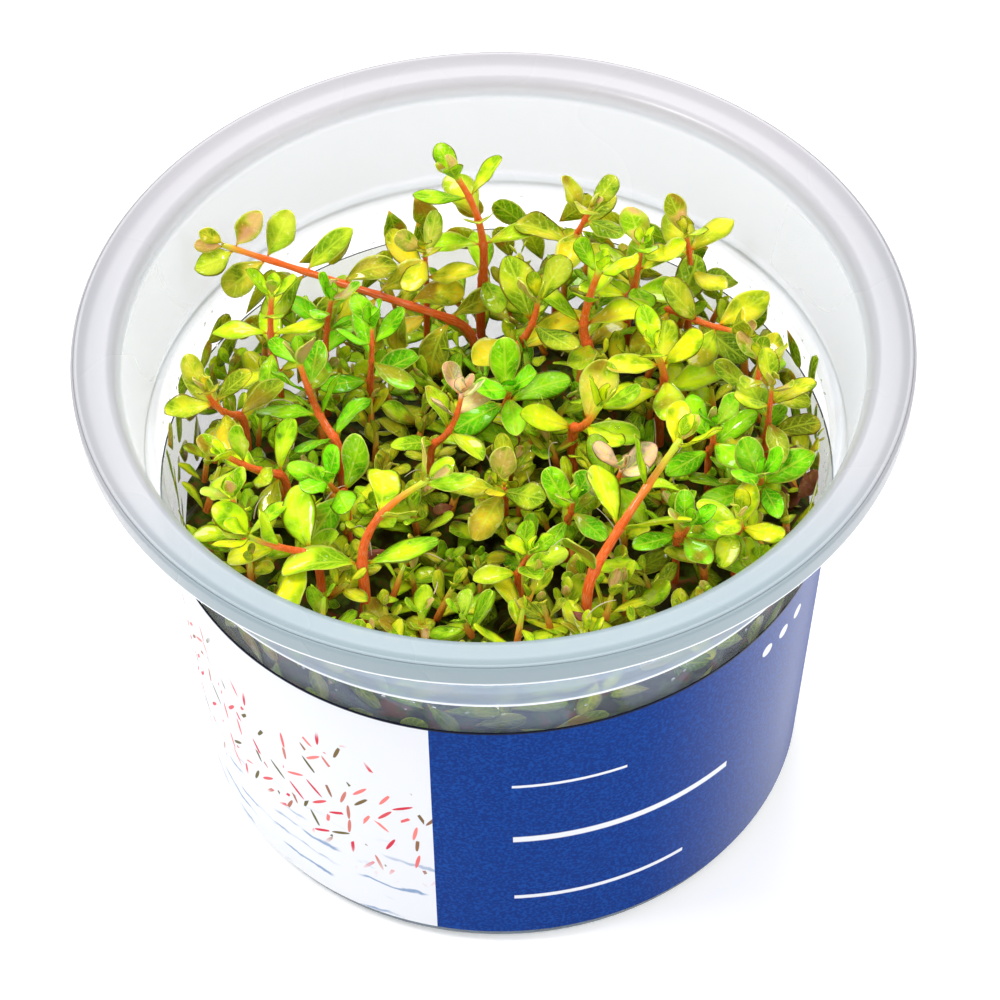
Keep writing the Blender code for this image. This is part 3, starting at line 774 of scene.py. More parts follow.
class Sketch:
    """Points and faces of a growing mesh, with the values that the plant's finish reads.

    luck is a number from 0 to 1 that the next points get: each leaf has its own.
    """

    def __init__(self) -> None:
        """Start empty."""
        self.points: list[Vector] = []
        self.faces: list[tuple[int, ...]] = []
        self.maps: list[Pair] = []
        self.tones: list[Colour] = []
        self.ages: list[float] = []
        self.stems: list[float] = []
        self.lucks: list[float] = []
        self.luck = 0.5

    def point(
        self, place: Vector, along: float = 0.0, across: float = 0.0, tone: Colour = NO_TONE,
        age: float = 0.0, stem: float = 0.0,
    ) -> int:
        """Add a point.

        Args:
            place: Where it is.
            along: The map's u.
            across: The map's v.
            tone: The leaf's colour.
            age: From 0, young, to 1, old; on a stem from 0, its foot, to 1, its tip.
            stem: 1 on a stem and 0 on a leaf.

        Returns:
            The point's number.
        """
        self.points.append(place)
        self.maps.append((along, across))
        self.tones.append(tone)
        self.ages.append(age)
        self.stems.append(stem)
        self.lucks.append(self.luck)
        return len(self.points) - 1

    def ring(
        self, middle: Vector, first: Vector, second: Vector, radii: Sequence[float], along: float,
        tone: Colour = NO_TONE, age: float = 0.0, stem: float = 0.0,
    ) -> list[int]:
        """Add a ring of points, whose map runs across from one side to the opposite one.

        Args:
            middle: Its middle.
            first: The direction of its first point.
            second: The direction a quarter further round.
            radii: The radius at each of its points.
            along: The map's u.
            tone: The colour.
            age: As in point.
            stem: As in point.

        Returns:
            The points' numbers.
        """
        made = []
        for side, radius in enumerate(radii):
            angle = math.tau * side / len(radii)
            place = middle + (first * math.cos(angle) + second * math.sin(angle)) * radius
            made.append(self.point(place, along, abs(2 * side / len(radii) - 1), tone, age, stem))
        return made

    def strip(self, first: Sequence[int], second: Sequence[int], closed: bool = False) -> None:
        """Faces between two rows of points of the same length, or between a row and one point."""
        count = max(len(first), len(second))
        for step in range(count if closed else count - 1):
            ahead = (step + 1) % count
            corners = [
                first[step % len(first)], first[ahead % len(first)],
                second[ahead % len(second)], second[step % len(second)],
            ]
            self.faces.append(tuple(dict.fromkeys(corners)))

    def skin(self, rows: Sequence[Sequence[int]], closed: bool = False, flipped: bool = False) -> None:
        """Faces between each row of points and the next, or the other way round where flipped."""
        for lower, upper in zip(rows, rows[1:]):
            self.strip(*((upper, lower) if flipped else (lower, upper)), closed)

    def plain(self, name: str) -> bpy.types.Mesh:
        """The mesh so far, without a map or attributes."""
        made = bpy.data.meshes.new(name)
        made.from_pydata([tuple(point) for point in self.points], [], self.faces)
        made.update()
        return made

    def mesh(self, name: str) -> bpy.types.Mesh:
        """The mesh so far.

        Args:
            name: The mesh's name.

        Returns:
            A mesh with its map and attributes.
        """
        made = self.plain(name)
        layer = made.uv_layers.new(name="UVMap")
        for loop in made.loops:
            layer.data[loop.index].uv = self.maps[loop.vertex_index]
        tones = made.attributes.new("tone", "FLOAT_COLOR", "POINT")
        tones.data.foreach_set("color", [part for tone in self.tones for part in (*tone, 1.0)])
        for value, numbers in (("age", self.ages), ("stem", self.stems), ("luck", self.lucks)):
            made.attributes.new(value, "FLOAT", "POINT").data.foreach_set("value", numbers)
        made.update()
        return made


class Interior:
    """The space inside the cup, which leaves bend to stay in. Its profile is (height, radius) in mm."""

    profile = (
        (2.3, 36.75), (52.1, 40.2), (55.0, 40.8), (55.9, 41.9), (66.9, 44.1), (68.5, 45.4), (72.0, 60.0),
    )
    clearance = 0.35 * MM
    ease = 1.6 * MM

    @classmethod
    def limit(cls, height: float) -> float:
        """The wall's inner radius at a height over the base, less the clearance."""
        above = height / MM
        for (low, near), (high, far) in zip(cls.profile, cls.profile[1:]):
            if above < high:
                share = max(above - low, 0.0) / (high - low)
                return (near + (far - near) * share) * MM - cls.clearance
        return math.inf

    @classmethod
    def hold(cls, point: Vector) -> Vector:
        """A point eased in from the wall where it comes close to it or would pass it."""
        start = cls.limit(point.z) - cls.ease
        radius = math.hypot(point.x, point.y)
        if radius <= start:
            return point
        held = (start + cls.ease * (1 - math.exp((start - radius) / cls.ease))) / radius
        return Vector((point.x * held, point.y * held, point.z))


@dataclass(frozen=True)
class Blade:
    """A leaf: a spoon-shaped blade with a short stalk, closed, thin at its edges.

    Lengths are in metres and angles in radians. lean is the angle from the stem at the root and curl what
    is added to it by the tip. cup and fold raise the sides, wave and ripple move them, sway bends the leaf
    sideways as a share of its length, and point narrows the tip. The blade turns its face to the light
    over the first share of its length, settled. Its rows lie closer towards the tip, by crowding.
    """

    length: float
    width: float
    lean: float
    curl: float
    cup: float = 0.10
    fold: float = 0.15
    wave: float = 0.05
    point: float = 0.0
    widest: float = 0.60
    stalk: float = 0.17
    thickness: float = 0.26 * MM
    light: Vector = UP
    light_seeking: float = 0.8
    sway: float = 0.0
    ripple: float = 0.0
    luck: float = 0.5
    rows: int = 12
    columns: int = 8
    phase: float = 0.0
    waves: float = 7.0
    ripples: float = 13.0
    settled: float = 0.35
    crowding: float = 1.5

    def half_width(self, along: float) -> float:
        """Half of the blade's width at a share of its length."""
        if along < self.widest:
            share = smooth_step(0.0, 1.0, along / self.widest) ** 0.85
            return self.width / 2 * (self.stalk + (1 - self.stalk) * share)
        share = (along - self.widest) / (1 - self.widest)
        return self.width / 2 * max(1 - share ** 2.2, 0.0) ** (0.5 + self.point)

    def draw(
        self, sketch: Sketch, root: Vector, along: Vector, out: Vector, tone: Colour, age: float
    ) -> None:
        """Draw the leaf.

        Args:
            sketch: The mesh that it joins.
            root: Where it leaves the stem.
            along: The stem's direction there.
            out: The direction away from the stem.
            tone: The leaf's colour.
            age: From 0, young, to 1, old.
        """
        sketch.luck = self.luck
        across = along.cross(out).normalized()
        light = (along + self.light * self.light_seeking).normalized()
        place = root.copy()
        reached = 0.0
        tops: list[list[int]] = []
        bottoms: list[list[int]] = []
        for row in range(self.rows + 1):
            share = 1 - (1 - row / self.rows) ** self.crowding
            angle = self.lean + self.curl * (share + reached) / 2
            ahead = out * math.sin(angle) + along * math.cos(angle)
            place = place + ahead * self.length * (share - reached)
            reached = share
            turn = smooth_step(0.0, self.settled, share)
            side = (across * (1 - turn) + light.cross(ahead).normalized() * turn).normalized()
            normal = ahead.cross(side).normalized()
            spine = place + side * self.sway * self.length * share * share
            if row in (0, self.rows):
                pole = [sketch.point(Interior.hold(spine), share, 0.5, tone, age)]
                tops.append(pole)
                bottoms.append(pole)
                continue
            half = self.half_width(share)
            top, bottom = [], []
            for column in range(self.columns + 1):
                reach = 2 * column / self.columns - 1
                rise = self.cup * reach * reach + self.fold * abs(reach) ** 1.3
                rise += self.wave * math.sin(self.waves * share + self.phase) * reach * abs(reach)
                edge = math.sin(self.ripples * share + 2.0 * self.phase + reach)
                rise += self.ripple * edge * abs(reach) ** 3
                middle = Interior.hold(spine + side * half * reach + normal * half * rise)
                body = self.thickness / 2 * (1 - reach * reach) ** 0.5 * (1.25 - 0.5 * share)
                map_across = (reach + 1) / 2
                top.append(sketch.point(middle + normal * body, share, map_across, tone, age))
                if column in (0, self.columns):
                    bottom.append(top[-1])
                else:
                    bottom.append(sketch.point(middle - normal * body, share, map_across, tone, age))
            tops.append(top)
            bottoms.append(bottom)
        sketch.skin(tops)
        sketch.skin(bottoms, flipped=True)


class Heap:
    """The undergrowth's top, as a height over the cup's base.

    It falls away from the camera's side, with gentle lumps and some lobes: each lobe is its place, its
    rise and its radius, in millimetres.
    """

    middle = 46.0 * MM
    slope = 0.10
    lump = 1.1 * MM
    spacing = 9.0 * MM
    lobes = (
        (16.0, 19.0, 5.0, 13.0), (-12.0, 27.0, -6.0, 11.0), (-5.0, -14.0, -6.5, 7.5), (27.0, -12.0, 2.0, 9.0),
        (-24.0, -14.0, 3.0, 11.0), (2.0, -29.0, 2.5, 8.0), (3.0, 3.0, 2.0, 8.0),
    )

    @classmethod
    def height(cls, x: float, y: float) -> float:
        """The height at a place.

        Args:
            x: To the right of the cup's axis.
            y: Behind the cup's axis.

        Returns:
            The height above the base.
        """
        total = cls.middle - cls.slope * y
        for lobe_x, lobe_y, rise, radius in cls.lobes:
            distance = math.hypot(x - lobe_x * MM, y - lobe_y * MM) / (radius * MM)
            total += rise * MM * math.exp(-distance * distance)
        wave = math.tau / cls.spacing
        return total + cls.lump * math.sin(wave * x + 0.8) * math.cos(wave * y - 0.4)


class Foliage(Enum):
    """Leaf colours of a shoot."""

    FRESH = (0.44, 0.76, 0.008)
    BRIGHT = (0.20, 0.70, 0.004)
    OLIVE = (0.48, 0.54, 0.018)
    YELLOW = (0.56, 0.84, 0.010)
    PINK = (0.98, 0.62, 0.44)


@dataclass(frozen=True)
class ShootPlan:
    """A shoot: where its stem leaves the undergrowth, a point half way up, and its tip, in millimetres.

    The third number of each point is its height above the cup's rim plane. leaf is its longest leaf and
    stem the stem's thickness. turn is the direction of the lowest leaf pair, in degrees round the stem,
    and twist is the angle from each pair to the next. reflex is added to the lean of a pair's first and
    second leaf, in degrees. The leaves turn their faces to the light.
    """

    name: str
    foot: Place
    middle: Place
    tip: Place
    pairs: int
    leaf: float
    turn: float
    stem: float
    foliage: Foliage
    twist: float = 90.0
    reflex: Pair = (0.0, 0.0)
    light: Place = (0.0, 0.0, 0.8)


@dataclass(frozen=True)
class PairHabit:
    """How a leaf pair stands, from the tip down.

    Its length and breadth are against the full leaf, and its lean and its curl are in degrees.
    """

    length: float
    breadth: float
    lean: float
    curl: float


PAIR_HABITS = (
    PairHabit(0.68, 1.26, 44, -8), PairHabit(0.88, 1.10, 56, 4), PairHabit(1.0, 1.0, 64, 16),
    PairHabit(0.95, 1.0, 72, 22), PairHabit(0.9, 1.0, 78, 26), PairHabit(0.85, 1.0, 80, 26),
)

SHOOTS = (
    ShootPlan("arching", (-2.0, 22.5, -22.0), (-15.0, 20.5, -12.0), (-32.5, 21.0, -3.5),
              7, 8.1, 25, 1.3, Foliage.OLIVE, 0.0, (48.0, 4.0), (0.0, -2.4, 2.6)),
    ShootPlan("tall_back", (-1.5, 27.0, -20.0), (-1.0, 26.5, -8.0), (-4.0, 28.0, 0.5),
              5, 7.5, 100, 1.3, Foliage.FRESH),
    ShootPlan("back", (8.0, 28.5, -19.0), (10.5, 26.0, -9.0), (12.5, 25.0, -3.0),
              5, 7.1, 60, 1.1, Foliage.OLIVE),
    ShootPlan("red_post", (12.0, 13.5, -22.0), (11.2, 14.5, -12.0), (13.2, 15.2, -3.5),
              4, 7.7, 80, 1.5, Foliage.FRESH),
    ShootPlan("broad_leaf", (2.0, 15.5, -20.0), (4.6, 14.5, -13.0), (5.6, 14.6, -8.0),
              3, 9.3, 30, 1.3, Foliage.OLIVE),
    ShootPlan("right_back", (21.0, 20.5, -19.0), (25.4, 13.0, -11.0), (29.3, 8.5, -8.0),
              4, 7.7, 60, 1.1, Foliage.OLIVE),
    ShootPlan("centre_right", (20.2, 6.5, -22.0), (20.6, 5.0, -12.0), (19.4, 4.0, -6.0),
              4, 8.3, 10, 1.3, Foliage.YELLOW),
    ShootPlan("bright_rosette", (1.5, 6.0, -21.0), (1.6, 4.6, -14.5), (1.8, 2.6, -10.8),
              3, 8.1, 20, 1.1, Foliage.BRIGHT),
    ShootPlan("yellow_pair", (9.3, 0.5, -22.0), (10.6, -1.5, -15.0), (12.6, -2.1, -9.0),
              3, 8.1, 0, 1.4, Foliage.YELLOW),
    ShootPlan("pink_tip", (13.6, -7.6, -22.0), (14.1, -9.6, -15.0), (14.8, -11.4, -10.0),
              4, 6.5, 40, 1.0, Foliage.PINK),
    ShootPlan("star_rosette", (31.4, -9.0, -22.0), (31.4, -11.0, -14.5), (31.2, -12.8, -10.2),
              3, 7.3, 30, 1.1, Foliage.BRIGHT),
    ShootPlan("right_wall", (32.6, -1.5, -22.0), (32.8, -2.4, -12.0), (33.0, -2.6, -6.0),
              4, 6.7, 20, 1.0, Foliage.OLIVE),
    ShootPlan("front_right", (10.0, -26.7, -19.0), (14.5, -20.4, -9.5), (21.5, -13.4, -3.0),
              4, 8.5, 45, 1.5, Foliage.YELLOW),
    ShootPlan("front_left", (-15.9, -22.8, -17.0), (-14.7, -20.0, -9.0), (-8.0, -17.6, -4.0),
              3, 8.7, 15, 1.4, Foliage.YELLOW),
    ShootPlan("left_top", (-30.5, 5.5, -22.0), (-33.0, 3.2, -14.0), (-34.6, 2.0, -9.0),
              4, 7.1, 30, 1.1, Foliage.OLIVE),
    ShootPlan("left_post", (-26.6, 13.8, -24.0), (-27.2, 13.4, -13.0), (-26.7, 15.0, -6.0),
              5, 6.5, 0, 1.1, Foliage.FRESH),
    ShootPlan("left_stem", (-18.9, 0.0, -23.0), (-21.4, 2.6, -14.0), (-23.5, 5.7, -8.0),
              4, 7.7, 60, 1.4, Foliage.BRIGHT),
    ShootPlan("left_low", (-25.2, -5.4, -21.0), (-28.6, -6.5, -14.0), (-32.2, -7.5, -10.0),
              4, 6.5, 50, 1.2, Foliage.FRESH),
    ShootPlan("left_foot", (-29.6, -17.6, -19.0), (-30.6, -15.6, -12.0), (-31.2, -14.6, -9.5),
              3, 6.3, 20, 1.0, Foliage.FRESH),
    ShootPlan("left_red", (-21.1, -20.6, -17.0), (-25.0, -21.0, -12.5), (-29.2, -21.2, -9.0),
              3, 8.3, 80, 1.2, Foliage.YELLOW),
    ShootPlan("mid_left", (-15.4, 11.7, -24.0), (-14.9, 11.2, -14.0), (-14.7, 12.8, -10.0),
              4, 6.7, 25, 1.0, Foliage.BRIGHT),
    ShootPlan("pink_mid", (-8.1, -0.6, -21.0), (-5.5, -0.9, -14.0), (-3.9, 0.4, -9.0),
              4, 6.3, 35, 1.1, Foliage.PINK),
    ShootPlan("olive_rosette", (0.9, -7.6, -22.0), (0.5, -10.2, -15.0), (0.2, -11.9, -11.5),
              3, 7.3, 70, 1.0, Foliage.OLIVE),
    ShootPlan("front", (2.1, -22.2, -20.0), (2.6, -23.2, -13.4), (3.6, -23.8, -10.2),
              3, 5.8, 10, 0.9, Foliage.FRESH),
    ShootPlan("green_mid", (8.2, -13.0, -22.0), (8.6, -14.4, -14.5), (9.0, -15.4, -10.6),
              3, 6.3, 50, 1.0, Foliage.BRIGHT),
    ShootPlan("right_low", (21.0, -17.6, -22.0), (21.6, -19.6, -13.0), (22.4, -21.0, -9.2),
              3, 6.5, 15, 1.0, Foliage.BRIGHT),
    ShootPlan("right_front", (28.0, -18.2, -20.0), (28.4, -19.6, -12.0), (28.2, -20.6, -8.6),
              3, 6.3, 70, 1.0, Foliage.YELLOW),
    ShootPlan("left_round", (-18.0, -9.6, -21.0), (-19.0, -11.4, -13.0), (-19.9, -12.6, -9.2),
              3, 7.1, 45, 1.0, Foliage.BRIGHT),
    ShootPlan("left_bright", (-21.0, 15.6, -23.0), (-20.4, 16.6, -14.0), (-19.6, 17.4, -9.5),
              4, 6.5, 70, 1.0, Foliage.BRIGHT),
    ShootPlan("right_green", (25.6, -3.0, -22.0), (26.0, -4.4, -14.0), (26.2, -4.8, -10.0),
              3, 6.7, 40, 1.0, Foliage.BRIGHT),
    ShootPlan("right_grey", (31.0, 5.2, -22.0), (31.6, 2.9, -13.0), (32.0, 3.4, -7.5),
              4, 6.7, 60, 1.0, Foliage.OLIVE),
    ShootPlan("arching_side", (-8.4, 25.6, -27.0), (-8.0, 23.6, -12.0), (-8.2, 19.8, -4.0),
              4, 6.7, 60, 0.9, Foliage.OLIVE),
    ShootPlan("right_top", (24.6, 23.6, -21.0), (24.8, 23.4, -12.0), (24.0, 22.4, -5.0),
              4, 7.7, 25, 1.1, Foliage.OLIVE),
    ShootPlan("back_right", (16.8, 21.6, -19.0), (17.7, 20.6, -12.0), (18.6, 21.0, -5.5),
              4, 7.1, 5, 1.1, Foliage.FRESH),
)


@dataclass
class StemPath:
    """The stem's middle line: out of the undergrowth, then a curve through the shoot's points."""

    plan: ShootPlan
    rim: float = 68.5 * MM
    bare: float = 4.8 * MM
    least_pull: float = 1.0 * MM

    def __post_init__(self) -> None:
        """Lay the curve through the plan's points."""
        self.foot = self.at_rim(self.plan.foot)
        self.foot.z = max(self.foot.z, Heap.height(self.foot.x, self.foot.y) + self.bare)
        self.tip = self.at_rim(self.plan.tip)
        self.pull = self.at_rim(self.plan.middle) * 2 - (self.foot + self.tip) / 2
        self.pull.z = max(self.pull.z, self.foot.z + self.least_pull)

    def at_rim(self, point: Place) -> Vector:
        """A point in millimetres from the axis and the rim plane, in the part's frame."""
        x, y, above_rim = point
        return Vector((x * MM, y * MM, self.rim + above_rim * MM))

    def point(self, share: float) -> Vector:
        """The point at a share of the way from foot to tip."""
        rest = 1 - share
        return self.foot * rest * rest + self.pull * 2 * rest * share + self.tip * share * share


@dataclass
class Shoot:
    """One shoot: a stem with opposite leaves, each pair turned by its plan's twist from the pair below.

    The stem is as thick as its plan says, times slimness at its foot and times slimness less taper at its
    tip, and swells where leaves grow. The seed settles how its leaves differ.
    """

    plan: ShootPlan
    seed: int
    first_pair: float = 0.14
    last_pair: float = 0.97
    width_ratio: float = 0.49
    root_depth: float = 9.0 * MM
    slimness: float = 0.90
    taper: float = 0.38
    swelling: float = 0.24
    swelling_length: float = 0.025
    squareness: float = 0.07
    foot_cap: float = 0.5 * MM
    tip_cap: float = 0.4 * MM
    bud_size: float = 0.62
    sides: int = 10
    steps: int = 30
    buried: int = 6
    smoothing: int = 14

    def __post_init__(self) -> None:
        """Lay the stem's path and start its chance."""
        self.path = StemPath(self.plan)
        self.chance = random.Random(self.seed)
        self.radius = self.plan.stem * MM / 2

    def pair_share(self, pair: int) -> float:
        """Where on the stem a pair grows: the spaces shorten towards the tip."""
        step = pair / max(self.plan.pairs - 1, 1)
        return self.first_pair + (self.last_pair - self.first_pair) * step ** 0.85

    def stem_radius(self, share: float) -> float:
        """The stem's radius, a little thicker where leaves grow."""
        radius = self.radius * (self.slimness - self.taper * max(share, 0.0))
        for pair in range(self.plan.pairs):
            away = (share - self.pair_share(pair)) / self.swelling_length
            radius *= 1 + self.swelling * math.exp(-(away ** 2))
        return radius

    def stations(self) -> list[tuple[float, Vector, Vector, Vector]]:
        """Share, place, direction and facing along the stem, from under the undergrowth to the tip."""
        turn = math.radians(self.plan.turn)
        facing = Vector((math.cos(turn), math.sin(turn), 0.0))
        shares = [step / self.steps for step in range(-self.buried, self.steps + 1)]
        line = []
        for share in shares:
            under = self.path.foot + UP * self.root_depth * share * self.steps / self.buried
            line.append(self.path.point(share) if share >= 0 else under)
        for _ in range(self.smoothing):
            middles = [(before + after) / 2 for before, after in zip(line, line[2:])]
            line[1:-1] = [(point + middle) / 2 for point, middle in zip(line[1:-1], middles)]
        rows = []
        for index, share in enumerate(shares):
            after, before = line[min(index + 1, len(line) - 1)], line[max(index - 1, 0)]
            direction = (after - before).normalized()
            facing = (facing - direction * facing.dot(direction)).normalized()
            rows.append((share, line[index], direction, facing.copy()))
        return rows

    def draw_stem(self, sketch: Sketch) -> None:
        """Draw the stem as a closed, slightly square tube."""
        tone = self.plan.foliage.value
        fade = 1.1 if self.plan.foliage is Foliage.YELLOW else 5.0
        rows = self.stations()
        share, place, direction, _ = rows[0]
        rings = [[sketch.point(place - direction * self.foot_cap, 0.0, 0.5, tone, 0.0, 1.0)]]
        turns = [math.tau * side / self.sides for side in range(self.sides)]
        for share, place, direction, facing in rows:
            radii = [
                self.stem_radius(share) * (1 + self.squareness * math.cos(4 * angle)) for angle in turns
            ]
            age = max(share, 0.0) ** fade
            rings.append(
                sketch.ring(place, facing, direction.cross(facing), radii, share, tone, age, 1.0)
            )
        rings.append([sketch.point(place + direction * self.tip_cap, 1.0, 0.5, tone, 1.0, 1.0)])
        sketch.skin(rings, closed=True)

    def leaf_tone(self, from_tip: int) -> Colour:
        """A leaf's colour: the shoot's own, varied a little, lighter at the tip."""
        faded = self.plan.foliage is Foliage.PINK and from_tip > 1
        base = (Foliage.FRESH if faded else self.plan.foliage).value
        bright = self.chance.uniform(0.75, 1.2) * (1.12 if from_tip < 2 else 0.95)
        yellow = self.chance.uniform(-0.25, 0.3)
        red, green, blue = base
        return (min(red * bright * (1 + yellow), 0.9), min(green * bright, 0.9), blue)

    def blade(self, from_tip: int, reflex: float) -> Blade:
        """A leaf of a pair, varied a little, leaning back by so many degrees more."""
        vary = self.chance.uniform
        habit = PAIR_HABITS[min(max(from_tip, 0), len(PAIR_HABITS) - 1)]
        length = self.plan.leaf * MM * habit.length * vary(0.92, 1.1)
        lean, curl = habit.lean + reflex + vary(-12, 12), habit.curl + vary(-18, 26)
        if from_tip < 0:
            length *= self.bud_size
            lean, curl = vary(8, 22), vary(-24, 4)
        return Blade(
            length=length, width=length * self.width_ratio * habit.breadth * vary(0.80, 1.14),
            lean=math.radians(lean), curl=math.radians(curl), light=Vector(self.plan.light),
            light_seeking=1.0, cup=vary(-0.16, 0.26), fold=vary(0.0, 0.30), wave=vary(-0.20, 0.20),
            ripple=vary(0.0, 0.14), sway=vary(-0.12, 0.12), luck=self.chance.random(),
            point=max(vary(-0.25, 0.3), 0.0), widest=vary(0.52, 0.66), phase=vary(0.0, 6.0),
        )

    def draw_leaves(self, sketch: Sketch) -> None:
        """Draw every pair, and the bud's two small leaves at the tip."""
        rows = self.stations()
        for pair in range(self.plan.pairs + 1):
            from_tip = self.plan.pairs - 1 - pair
            share = 1.0 if from_tip < 0 else self.pair_share(pair)
            _, place, direction, facing = min(rows, key=lambda row: abs(row[0] - share))
            round_stem = math.radians(self.plan.twist * pair)
            first = facing * math.cos(round_stem) + direction.cross(facing) * math.sin(round_stem)
            for out, reflex in zip((first, -first), self.plan.reflex):
                swing = self.chance.uniform(-0.22, 0.22)
                turned = (out + direction.cross(out) * swing).normalized()
                root = place + turned * self.stem_radius(share) * 0.6
                age = min(max(0.18 + 0.28 * from_tip + self.chance.uniform(-0.15, 0.15), 0.0), 1.0)
                leaf = self.blade(from_tip, reflex)
                leaf.draw(sketch, root, direction, turned, self.leaf_tone(from_tip), age)

    def build(self) -> bpy.types.Object:
        """The shoot as one piece in place of its node.

        Returns:
            The piece.
        """
        sketch = Sketch()
        self.draw_stem(sketch)
        self.draw_leaves(sketch)
        name = self.plan.name
        node = name if name.endswith("rosette") else name + "_shoot"
        piece = linked(sketch.mesh(name + "_plant"), name + "_plant", TISSUE)
        place_piece(piece, "shoots", node)
        return piece


@dataclass(frozen=True)
class Spread:
    """How copies are set: their spacing, density and sizes, how they stand, their shade and their seed."""

    spacing: float
    density: float
    smallest: float
    largest: float
    upright: float
    wander: float
    shade: float
    seed: int


class Scatter:
    """Geometry Nodes that set copies of small shapes on a surface and realise them."""

    inputs = (
        ("Shapes", "NodeSocketCollection"), ("Spacing", "NodeSocketFloat"), ("Density", "NodeSocketFloat"),
        ("Smallest", "NodeSocketFloat"), ("Largest", "NodeSocketFloat"), ("Upright", "NodeSocketFloat"),
        ("Wander", "NodeSocketFloat"), ("Shade", "NodeSocketFloat"), ("Seed", "NodeSocketInt"),
        ("Finish", "NodeSocketMaterial"),
    )
    shadow: Colour = (0.02, 0.035, 0.004)
    tones = (
        (0.00, (0.14, 0.56, 0.005)), (0.22, (0.32, 0.68, 0.008)), (0.45, (0.54, 0.78, 0.012)),
        (0.62, (0.68, 0.80, 0.016)), (0.80, (0.40, 0.46, 0.018)), (1.00, (0.60, 0.50, 0.060)),
    )

    def __init__(self) -> None:
        """Build the tree."""
        self.tree = bpy.data.node_groups.new("scatter", "GeometryNodeTree")
        face = self.tree.interface
        face.new_socket(name="Geometry", in_out="INPUT", socket_type="NodeSocketGeometry")
        for name, kind in self.inputs:
            face.new_socket(name=name, in_out="INPUT", socket_type=kind)
        face.new_socket(name="Geometry", in_out="OUTPUT", socket_type="NodeSocketGeometry")
        bench = Bench(self.tree)
        given = bench.node("NodeGroupInput")
        seed = given.beside("Seed")
        points = bench.node(
            "GeometryNodeDistributePointsOnFaces", {"distribute_method": "POISSON"},
            {"Mesh": given, "Distance Min": given.beside("Spacing"), "Density Max": given.beside("Density"),
             "Seed": seed},
        )
        drift = bench.node(
            "FunctionNodeRandomValue", {"data_type": "FLOAT_VECTOR"},
            {0: (-1.0, -1.0, -1.0), 1: (1.0, 1.0, 1.0), "Seed": seed + 1}, 0,
        )
        lift = bench.join(0.0, 0.0, given.beside("Upright"))
        stray = bench.node(
            "ShaderNodeVectorMath", {"operation": "SCALE"}, {0: drift, "Scale": given.beside("Wander")}
        )
        aim = bench.vector("ADD", bench.vector("ADD", points.beside("Normal"), lift), stray)
        stand = bench.node("FunctionNodeAlignRotationToVector", {"axis": "Z"}, {"Vector": aim})
        turn = bench.join(0.0, 0.0, self._random(bench, 0.0, math.tau, seed + 2))
        spin = bench.node("FunctionNodeEulerToRotation", {}, {0: turn})
        turned = bench.node("FunctionNodeRotateRotation", {"rotation_space": "LOCAL"}, {0: stand, 1: spin})
        shapes = bench.node(
            "GeometryNodeCollectionInfo", {},
            {"Collection": given.beside("Shapes"), "Separate Children": True, "Reset Children": True},
        )
        pick = bench.node(
            "FunctionNodeRandomValue", {"data_type": "INT"}, {4: 0, 5: 50, "Seed": seed + 3}, 2
        )
        size = self._random(bench, given.beside("Smallest"), given.beside("Largest"), seed + 4)
        copies = bench.node(
            "GeometryNodeInstanceOnPoints", {},
            {"Points": points, "Instance": shapes, "Pick Instance": True, "Instance Index": pick,
             "Rotation": turned, "Scale": size},
        )
        patch = bench.noise(bench.node("GeometryNodeInputPosition"), 45.0)
        mixed = self._random(bench, 0.0, 1.0, seed + 5) * 0.75 + (patch - 0.35) * 0.7
        toned = bench.mix(given.beside("Shade"), mixed.ramp(*self.tones), self.shadow)
        stored = bench.node(
            "GeometryNodeStoreNamedAttribute", {"data_type": "FLOAT_COLOR", "domain": "INSTANCE"},
            {"Geometry": copies, "Name": "tone", "Value": toned},
        )
        real = bench.node("GeometryNodeRealizeInstances", {}, {0: stored})
        dressed = bench.node(
            "GeometryNodeSetMaterial", {}, {"Geometry": real, "Material": given.beside("Finish")}
        )
        out = self.tree.nodes.new("NodeGroupOutput")
        bench.feed(out.inputs[0], dressed)

    @staticmethod
    def _random(bench: Bench, low: Value, high: Value, seed: Wire) -> Wire:
        """A random number for each copy."""
        return bench.node(
            "FunctionNodeRandomValue", {"data_type": "FLOAT"}, {2: low, 3: high, "Seed": seed}, 1
        )

    def run(
        self, name: str, surface: bpy.types.Mesh, shapes: bpy.types.Collection, finish: Finish,
        spread: Spread,
    ) -> bpy.types.Object:
        """Scatter shapes on a surface.

        Args:
            name: The new piece's name.
            surface: The mesh that carries them, which isn't part of the piece.
            shapes: The collection of shapes.
            finish: Their finish.
            spread: How they are set; each of its values goes to the tree's input of that name.

        Returns:
            The piece, a plain mesh.
        """
        carrier = bpy.data.objects.new(name + "_carrier", surface)
        bpy.context.scene.collection.objects.link(carrier)
        modifier = carrier.modifiers.new("scatter", "NODES")
        modifier.node_group = self.tree
        values = {**vars(spread), "shapes": shapes, "finish": finish.material()}
        for item in self.tree.interface.items_tree:
            if item.in_out == "INPUT" and item.name.lower() in values:
                modifier[item.identifier] = values[item.name.lower()]
        evaluated = carrier.evaluated_get(bpy.context.evaluated_depsgraph_get())
        mesh = bpy.data.meshes.new_from_object(evaluated)
        mesh.name = name
        bpy.data.objects.remove(carrier)
        return linked(mesh, name)


class ShapeShelf:
    """Small shapes that scatter copies: kept in a collection while the pieces are made."""

    def __init__(self, name: str) -> None:
        """Start an empty shelf."""
        self.collection = bpy.data.collections.new(name)

    def add(self, mesh: bpy.types.Mesh) -> None:
        """Put a shape on the shelf."""
        mesh.shade_smooth()
        self.collection.objects.link(bpy.data.objects.new(mesh.name, mesh))

    def clear(self) -> None:
        """Take every shape off and drop the shelf."""
        for item in list(self.collection.objects):
            bpy.data.objects.remove(item)
        bpy.data.collections.remove(self.collection)


